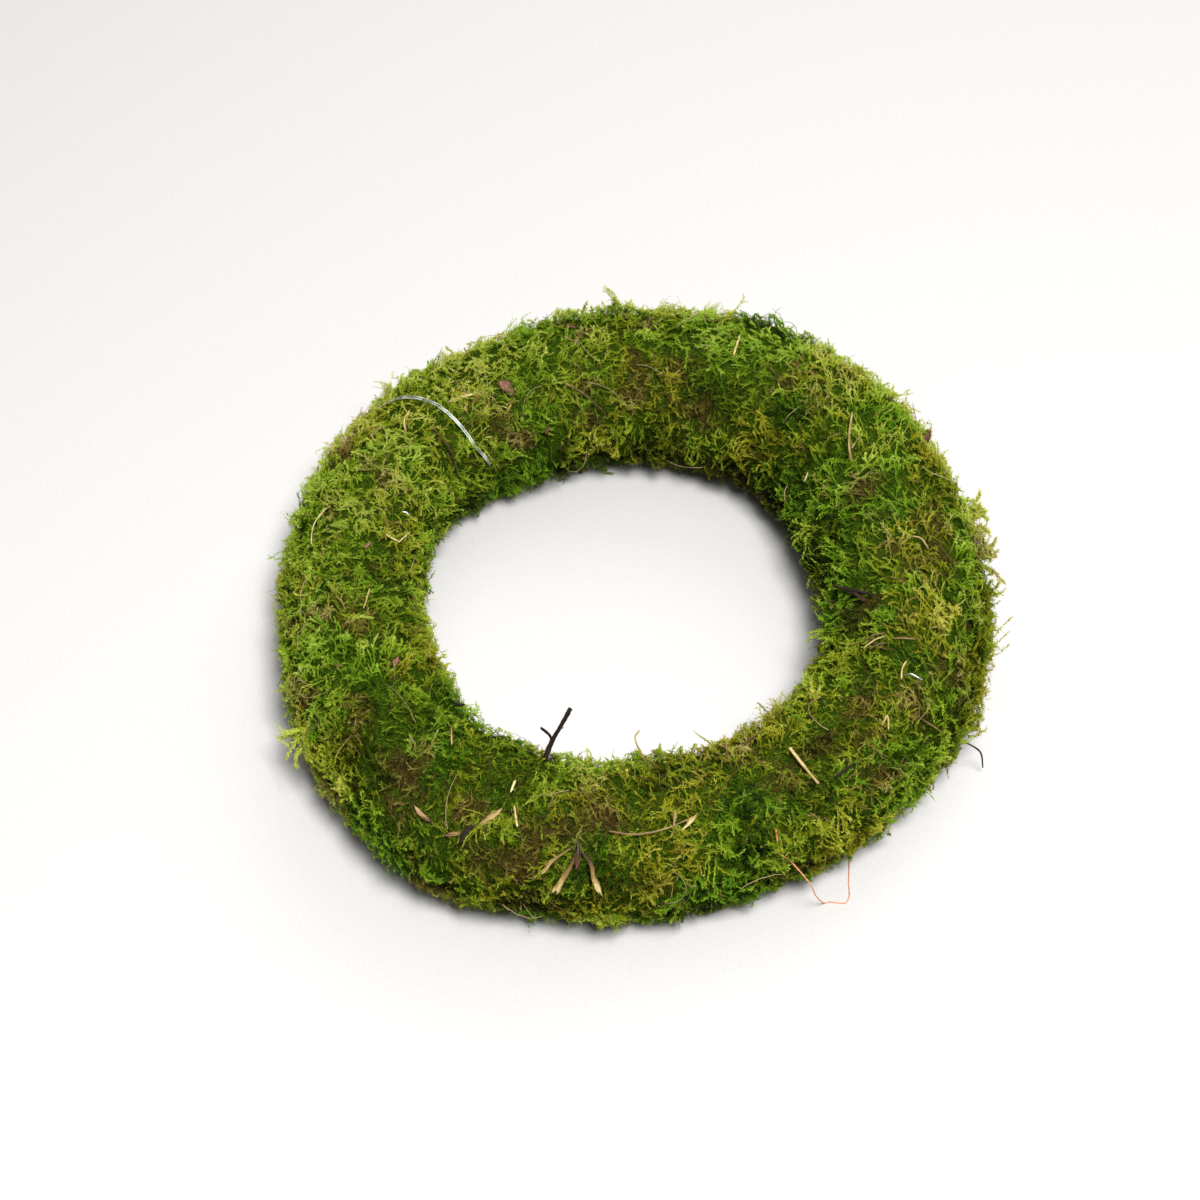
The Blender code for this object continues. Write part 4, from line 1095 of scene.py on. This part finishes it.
def moss_fibres(pad, rng):
    """Hair-thin roots and dead stems over one handful of moss, some brown and some pale."""
    theta, phi = pad_places(pad, FIBRES_PER_PAD, rng)
    share = np.linspace(0, 1, FIBRE_POINTS)
    count = len(theta)
    length = rng.uniform(*FIBRE_LENGTH, count)
    heading = rng.uniform(0, 360, count)
    bend = rng.normal(0, FIBRE_BEND, count)
    growth = np.column_stack([np.zeros(count), np.ones(count)])
    pale = np.where(np.arange(count) % 3 == 0, 1.0, 0.5)
    lifts, ages = (0.0, 0.0, 1.0), (pale, pale)
    fibres = grown(theta, phi, heading, bend, length, lifts, ages, FIBRE_POINTS, np.ones(count), growth)
    top = rng.uniform(*FIBRE_RISE, (count, 1))
    waver = rng.normal(0, FIBRE_WAVER, fibres.theta.shape)
    lift = top * np.sin(np.pi * (0.08 + 0.84 * share)) + waver
    radii = FIBRE_R * rng.uniform(0.7, 1.3, (count, 1)) * np.linspace(1, 0.6, FIBRE_POINTS - 1)
    points = moss_point(fibres.theta, fibres.phi, lift)
    return cores(points, outwards(fibres.theta, fibres.phi), radii, fibres.age, growth, FIBRE_SIDES)


def off_table(corners):
    """The corners, with those under the table's top raised to just above it."""
    return np.column_stack([corners[:, :2], np.maximum(corners[:, 2], TABLE_CLEARANCE)])


def mat_piece(pad, clumps, material, rng):
    """The root mat of one handful: a closed sleeve round its stretch of the straw ring."""
    along, around = np.meshgrid(
        np.linspace(-0.5, 0.5, MAT_COLUMNS + 1), np.arange(MAT_ROWS) * 360 / MAT_ROWS, indexing="ij"
    )
    theta = (pad + along) * PAD_SPAN + SEAM_SLANT * np.sin(np.radians(around))
    depth = MAT_DEPTH + rng.uniform(-1, 1, theta.shape) * MAT_ROUGHNESS - dome(theta, around, clumps) / 2
    outer = moss_point(theta, around, -depth) - RING_MIDDLE
    outer[..., 2] -= MAT_FOOT * np.interp(-np.sin(np.radians(around)), (MAT_FOOT_FROM, 1), (0, 1))
    far = np.hypot(outer[..., 0], outer[..., 1])
    straw = RING_R + waves(theta, STRAW_OVAL)
    aside, above = far - straw, outer[..., 2] - (MOSS_R - SETTLED)
    reach = np.hypot(aside, above)
    layers = []
    for wall in (np.maximum(reach, STRAW_R + 2 * MAT_WALL), np.full(reach.shape, STRAW_R + MAT_WALL)):
        out, height = straw + aside / reach * wall, MOSS_R - SETTLED + above / reach * wall
        layers.append(from_ring(theta, out, np.maximum(height, 2 * TABLE_CLEARANCE)))
    corners = np.concatenate([layer.reshape(-1, 3) for layer in layers])
    inner = layers[0].size // 3
    triangles = []
    for column in range(MAT_COLUMNS):
        for row in range(MAT_ROWS):
            a, b = column * MAT_ROWS + row, column * MAT_ROWS + (row + 1) % MAT_ROWS
            c, d = a + MAT_ROWS, b + MAT_ROWS
            triangles += [(a, c, b), (b, c, d)]
            triangles += [(inner + a, inner + b, inner + c), (inner + b, inner + d, inner + c)]
    for start, turn in ((0, 1), (MAT_COLUMNS * MAT_ROWS, -1)):
        for row in range(MAT_ROWS):
            a, b = start + row, start + (row + 1) % MAT_ROWS
            triangles += [(a, b, inner + a)[::turn], (b, inner + b, inner + a)[::turn]]
    nearest, _ = nearest_clump(theta, around, clumps)
    growth = np.zeros((len(corners), 3))
    growth[:, 2] = np.tile(clumps.dry[nearest].ravel(), 2)
    return mesh_object(f"root_mat_{pad + 1:02d}", corners, np.array(triangles), growth, material)


def moss_handful(pad, clumps, leaf_material, mat_material):
    """One handful of moss, in two pieces: its strands, and the mat that they stand in."""
    rng = np.random.default_rng(SEED + pad)
    clumps = clumps.near(pad * PAD_SPAN)
    mains = main_strands(pad, clumps, rng)
    sprigs = tall_sprigs(pad, rng)
    parts = [
        leafy(mains, MAIN_LEAVES, clumps, rng),
        leafy(branched(mains, rng), SIDE_LEAVES, clumps, rng),
        leafy(loose_tips(pad, clumps, rng), SIDE_LEAVES, clumps, rng),
        leafy(tufts(pad, clumps, rng), MAIN_LEAVES, clumps, rng),
        leafy(sprigs, SPRIG_LEAVES, clumps, rng),
        leafy(branched(sprigs, rng), SIDE_LEAVES, clumps, rng),
        moss_fibres(pad, rng),
    ]
    corners, triangles, growth = joined(parts)
    name = f"moss_strands_{pad + 1:02d}"
    strands = mesh_object(name, off_table(corners), triangles, growth, leaf_material)
    add_leaf_map(strands.data)
    mat = mat_piece(pad, clumps, mat_material, rng)
    for piece in (strands, mat):
        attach(piece, "root")
    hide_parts(f"moss_pad_{pad + 1:02d}")


def tube(name, points, radius, material, cyclic=False):
    """A round thread through the points, as a curve."""
    curve = bpy.data.curves.new(name, "CURVE")
    curve.dimensions = "3D"
    curve.bevel_depth = radius
    curve.bevel_resolution = 2
    curve.use_fill_caps = not cyclic
    spline = curve.splines.new("POLY")
    spline.points.add(len(points) - 1)
    spline.use_cyclic_u = cyclic
    for target, point in zip(spline.points, points):
        target.co = (*point, 1)
    curve.materials.append(material)
    made = bpy.data.objects.new(name, curve)
    bpy.context.scene.collection.objects.link(made)
    return made


@dataclass
class FlatKind:
    """A kind of flat litter. Thickness and tear are in millimetres, the rest shares of its half width.

    outline is its half width at OUTLINE_SHARES of its length, and rim how much darker its edges are.
    """

    slot: str
    thick: float
    fold: float
    ribs: int
    rib: float
    torn: float
    outline: tuple
    rim: float


OUTLINE_SHARES = (0, 0.12, 0.35, 0.7, 0.9, 1)
FLAT_KINDS = {
    "blade": FlatKind("dry_grass", 0.25, 0.5, 3, 0.06, 1.0, (0.3, 0.4, 0.6, 0.9, 1.0, 0.7), 0.2),
    "straw": FlatKind("dry_grass", 0.4, -0.5, 4, 0.04, 0.3, (0.7, 0.95, 1.0, 0.9, 0.8, 0.5), 0.25),
    "chip": FlatKind("bark", 0.55, -0.4, 3, 0.07, 0.7, (0.4, 0.8, 1.0, 0.9, 0.7, 0.3), 0.45),
    "leaf": FlatKind("dead_leaf", 0.2, 0.4, 2, 0.08, 0.6, (0.4, 0.8, 1.0, 0.9, 0.7, 0.3), 0.3),
}


def out_of_moss(points):
    """The directions from the middle of the moss tube to the points."""
    off = points - RING_MIDDLE
    theta = np.degrees(np.arctan2(off[:, 1], off[:, 0]))
    return unit(points - from_ring(theta, moss_middle(theta), moss_radius(theta) - SETTLED))


def sheet_triangles(rows, columns):
    """Triangles for two sheets of corners, one under the other, joined at their edges."""
    number = np.arange(rows * columns).reshape(rows, columns)
    a, b = number[:-1, :-1].ravel(), number[:-1, 1:].ravel()
    c, d = number[1:, :-1].ravel(), number[1:, 1:].ravel()
    top = np.concatenate([np.stack([a, b, c], axis=1), np.stack([b, d, c], axis=1)])
    rim = np.concatenate([number[0, :-1], number[:-1, -1], number[-1, :0:-1], number[:0:-1, 0]])
    after = np.roll(rim, -1)
    under = rows * columns
    side = np.stack([rim, rim + under, after], axis=1), np.stack([after, rim + under, after + under], axis=1)
    return np.concatenate([top, top[:, ::-1] + under, *side])


def scrap(kind, width, tones, places, rng):
    """A flat scrap along its places: folded, ribbed and a little uneven, with torn ends."""
    corners = [moss_point(theta, phi, lift * MM + LITTER_LIFT) for theta, phi, lift in places]
    middle = smooth_route(corners, STRIP_STEP)
    ahead = unit(np.gradient(middle, axis=0))
    aside = unit(np.cross(ahead, out_of_moss(middle)))
    above = np.cross(aside, ahead)
    rows = len(middle)
    share = np.linspace(0, 1, rows)[:, None]
    across = np.linspace(-1, 1, STRIP_COLUMNS)[None]
    outline = np.interp(share, OUTLINE_SHARES, kind.outline)
    edges = 0.12 * np.sin(2 * np.pi * (rng.uniform(1, 3, (1, 2)) * share + rng.random((1, 2))))
    uneven = 1 + (edges + rng.normal(0, 0.06, (rows, 2))).repeat(STRIP_COLUMNS // 2, axis=1)
    half = width / 2 * MM * outline * uneven
    height = half * (kind.fold * (across**2 - 0.4) + kind.rib * np.cos(np.pi * kind.ribs * across))
    along = rng.normal(0, kind.torn * MM, (1, STRIP_COLUMNS)) * np.abs(2 * share - 1) ** 8
    top = middle[:, None] + aside[:, None] * (across * half)[..., None] + above[:, None] * height[..., None]
    top = top + ahead[:, None] * along[..., None]
    under = top - above[:, None] * (kind.thick * MM * (1 - 0.5 * across**2))[..., None]
    growth = np.empty((rows, STRIP_COLUMNS, 3))
    growth[..., 0] = rng.uniform(0, 0.6) + share * STRIP_STEP * rows / GROWTH_ALONG
    growth[..., 1] = 0.5 + across * half / GROWTH_ACROSS
    growth[..., 2] = tones[0] + (tones[1] - tones[0]) * share - kind.rim * across**6
    both = np.concatenate([top.reshape(-1, 3), under.reshape(-1, 3)])
    return both, sheet_triangles(rows, STRIP_COLUMNS)[:, ::-1], np.tile(growth.reshape(-1, 3), (2, 1))


def stem(corners, radii, tones, rng):
    """A round stem through the corners: knobbly, tapering, with broken ends."""
    middle = smooth_route(corners, ROD_STEP)
    ahead = unit(np.gradient(middle, axis=0))
    side = np.cross(ahead[0], ASKEW)
    sides = []
    for way in ahead:
        side = unit(side - way * (side @ way))
        sides.append(side)
    aside = np.array(sides)
    above = np.cross(aside, ahead)
    rows = len(middle)
    share = np.linspace(0, 1, rows)[:, None]
    angles = 2 * np.pi * np.arange(ROD_SIDES)[None] / ROD_SIDES
    knobs = 1 + 0.12 * np.sin(2 * angles + 9 * share) + rng.normal(0, 0.06, (rows, ROD_SIDES))
    radius = (radii[0] + (radii[1] - radii[0]) * share) * knobs
    ring = aside[:, None] * np.cos(angles)[..., None] + above[:, None] * np.sin(angles)[..., None]
    rings = (middle[:, None] + ring * radius[..., None]).reshape(-1, 3)
    foot, tip = middle[:1] - ahead[:1] * radii[0] / 2, middle[-1:] + ahead[-1:] * radii[1] / 2
    triangles = []
    for side in range(ROD_SIDES):
        beside = (side + 1) % ROD_SIDES
        for start in range(0, (rows - 1) * ROD_SIDES, ROD_SIDES):
            a, b = start + side, start + beside
            triangles += [(a, b, a + ROD_SIDES), (b, b + ROD_SIDES, a + ROD_SIDES)]
        last = (rows - 1) * ROD_SIDES
        triangles += [(beside, side, len(rings)), (last + side, last + beside, len(rings) + 1)]
    growth = np.empty((rows, ROD_SIDES, 3))
    growth[..., 0] = rng.uniform(0, 0.5) + share * ROD_STEP * rows / GROWTH_ALONG
    growth[..., 1] = 0.5 + angles * radii[0] / GROWTH_ACROSS
    growth[..., 2] = tones[0] + (tones[1] - tones[0]) * share
    growth = growth.reshape(-1, 3)
    growth = np.concatenate([growth, growth[:1], growth[-1:]])
    return np.concatenate([rings, foot, tip]), np.array(triangles), growth


def stem_on_moss(radii, tones, places, rng):
    """A stem along its places on the moss, with radii in millimetres."""
    corners = [moss_point(theta, phi, (lift + radii[0]) * MM) for theta, phi, lift in places]
    return stem(corners, np.array(radii) * MM, tones, rng)


def litter_piece(name, slot, parts, looks, node=None):
    """Joins the parts to one piece of litter that takes its finish from the slot."""
    piece = mesh_object(name, *joined(parts), looks[slot])
    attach(piece, "root")
    if node:
        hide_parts(node)


def litter(looks):
    """All the dry grass, straw, bark, leaf scraps and twigs that lie in the moss."""
    rng = np.random.default_rng(SEED + PADS)

    def flat_piece(name, kind, width, tones, places, node=None):
        """One scrap of that kind as a piece."""
        kind = FLAT_KINDS[kind]
        litter_piece(name, kind.slot, [scrap(kind, width, tones, places, rng)], looks, node)

    def stem_piece(name, slot, radii, tones, places, node=None):
        """One stem on the moss as a piece."""
        litter_piece(name, slot, [stem_on_moss(radii, tones, places, rng)], looks, node)

    for node, *row in FLAT_LITTER:
        flat_piece("worn_" + node, *row, node)
    for node, *row in STEM_LITTER:
        stem_piece("worn_" + node, *row, node)
    for number, row in enumerate(SMALL_BITS, 1):
        flat_piece(f"small_bit_{number:02d}", *row)
    for number, row in enumerate(SMALL_STEMS, 1):
        stem_piece(f"small_stem_{number}", *row)
    foot = moss_point(*TWIG_FOOT, TWIG_FOOT_LIFT)
    ways = (TWIG_STEM, TWIG_BRANCH, TWIG_STUB)
    trunk, branch, stub = ([foot + np.array(joint) * MM for joint in way] for way in ways)
    parts = [
        stem(trunk, (TWIG_R, 0.85 * TWIG_R), (0.25, 0.12), rng),
        stem(branch, (BRANCH_R, 0.8 * BRANCH_R), (0.2, 0.12), rng),
        stem(stub, (0.8 * BRANCH_R, 0.6 * BRANCH_R), (0.2, 0.5), rng),
    ]
    litter_piece("worn_forked_twig", "bark", parts, looks, "forked_twig")


def nylon_thread(material):
    """The binding thread: one turn after another round the moss, closed at its start."""
    phi = np.arange(NYLON_POINTS_PER_TURN * (TURNS + 1)) * 360 / NYLON_POINTS_PER_TURN
    shows = np.where(phi < LOOP_LIFTED_TO, np.maximum(0, np.cos(np.radians(phi - LOOP_HIGHEST_AT))), 0)
    theta = thread_theta(phi)
    theta = theta + turn_from(theta, loop_theta(phi)) * LOOP_DRAWN_IN * shows
    glint_theta, glint_phi, glint_lift = np.array(GLINTS, dtype=float).T
    away = apart(theta, phi, glint_theta, glint_phi)
    glints = (glint_lift * MM * np.maximum(0, 1 - away / GLINT_R)).max(axis=1)
    slack = np.maximum((SLACK + SUNK) * shows, glints)
    points = moss_point(theta, phi, GAP + THREAD_R - SUNK + slack)
    points[:, 2] = np.maximum(points[:, 2], THREAD_OFF_TABLE)
    thread = tube("nylon_thread", points, NYLON_R, material, cyclic=True)
    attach(thread, "root")
    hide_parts("binding_thread")


def loose_orange_thread(material):
    """The loose end of orange thread: down over the moss to the table, and back in under it."""
    corners = [moss_point(theta, phi, GAP + 2 * ORANGE_R) for theta, phi in ORANGE_ON_MOSS]
    corners += [np.array(point) * MM + RING_MIDDLE for point in ORANGE_IN_AIR]
    corners += [np.array((x * MM, y * MM, ORANGE_REST)) + RING_MIDDLE for x, y in ORANGE_ON_TABLE]
    corners += [np.array(point) * MM + RING_MIDDLE for point in ORANGE_BACK_IN]
    route = smooth_route(corners, ORANGE_SPACING)
    route[:, 2] = np.maximum(route[:, 2], ORANGE_REST)
    thread = tube("loose_orange_thread", route, ORANGE_R, material)
    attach(thread, "root")
    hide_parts("orange_thread")


def set_camera():
    """The camera, as high and as far away as the photograph's."""
    lens = bpy.data.cameras.new("camera")
    lens.lens = CAMERA_LENS
    lens.shift_x = -CONTENT_OFF_CENTRE[0] / PHOTO_WIDTH
    lens.shift_y = CONTENT_OFF_CENTRE[1] / PHOTO_WIDTH
    camera = bpy.data.objects.new("camera", lens)
    rise = math.radians(CAMERA_ELEVATION)
    camera.location = CAMERA_TARGET + CAMERA_DISTANCE * Vector((0, -math.cos(rise), math.sin(rise)))
    camera.rotation_euler = (math.pi / 2 - rise, 0, 0)
    bpy.context.scene.collection.objects.link(camera)
    bpy.context.scene.camera = camera


def softbox(name, direction, distance, size, power):
    """A square studio light that shines on the wreath from that direction."""
    lamp = bpy.data.lights.new(name, "AREA")
    lamp.size = size
    lamp.energy = power
    light = bpy.data.objects.new(name, lamp)
    way = Vector(direction).normalized()
    light.location = way * distance
    light.rotation_euler = way.to_track_quat("Z", "Y").to_euler()
    bpy.context.scene.collection.objects.link(light)


def set_stage():
    """The pale table, the light of the room and its ceiling, a softbox above and a dim one behind."""
    bpy.ops.mesh.primitive_plane_add(size=TABLE_SIZE)
    table = bpy.context.object
    table.name = "table"
    table.data.materials.append(pale_table())
    world = bpy.data.worlds.new("room")
    world.use_nodes = True
    world.node_tree.nodes["Background"].inputs["Color"].default_value = linear("#FFFEFA")
    world.node_tree.nodes["Background"].inputs["Strength"].default_value = ROOM_LIGHT
    bpy.context.scene.world = world
    for row in SOFTBOXES:
        softbox(*row)
    bpy.context.scene.view_settings.view_transform = "Standard"


def main():
    set_camera()
    set_stage()
    loose_orange_thread(orange_yarn())
    nylon_thread(clear_nylon())
    litter({"dry_grass": dried_grass(), "bark": split_bark(), "dead_leaf": dead_leaf()})
    straw = bound_straw()
    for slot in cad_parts["straw_ring"].material_slots:
        slot.material = straw
    clumps = scatter_clumps(np.random.default_rng(SEED))
    leaf_material, mat_material = moss_leaves(), root_mat()
    for pad in range(PADS):
        moss_handful(pad, clumps, leaf_material, mat_material)


main()
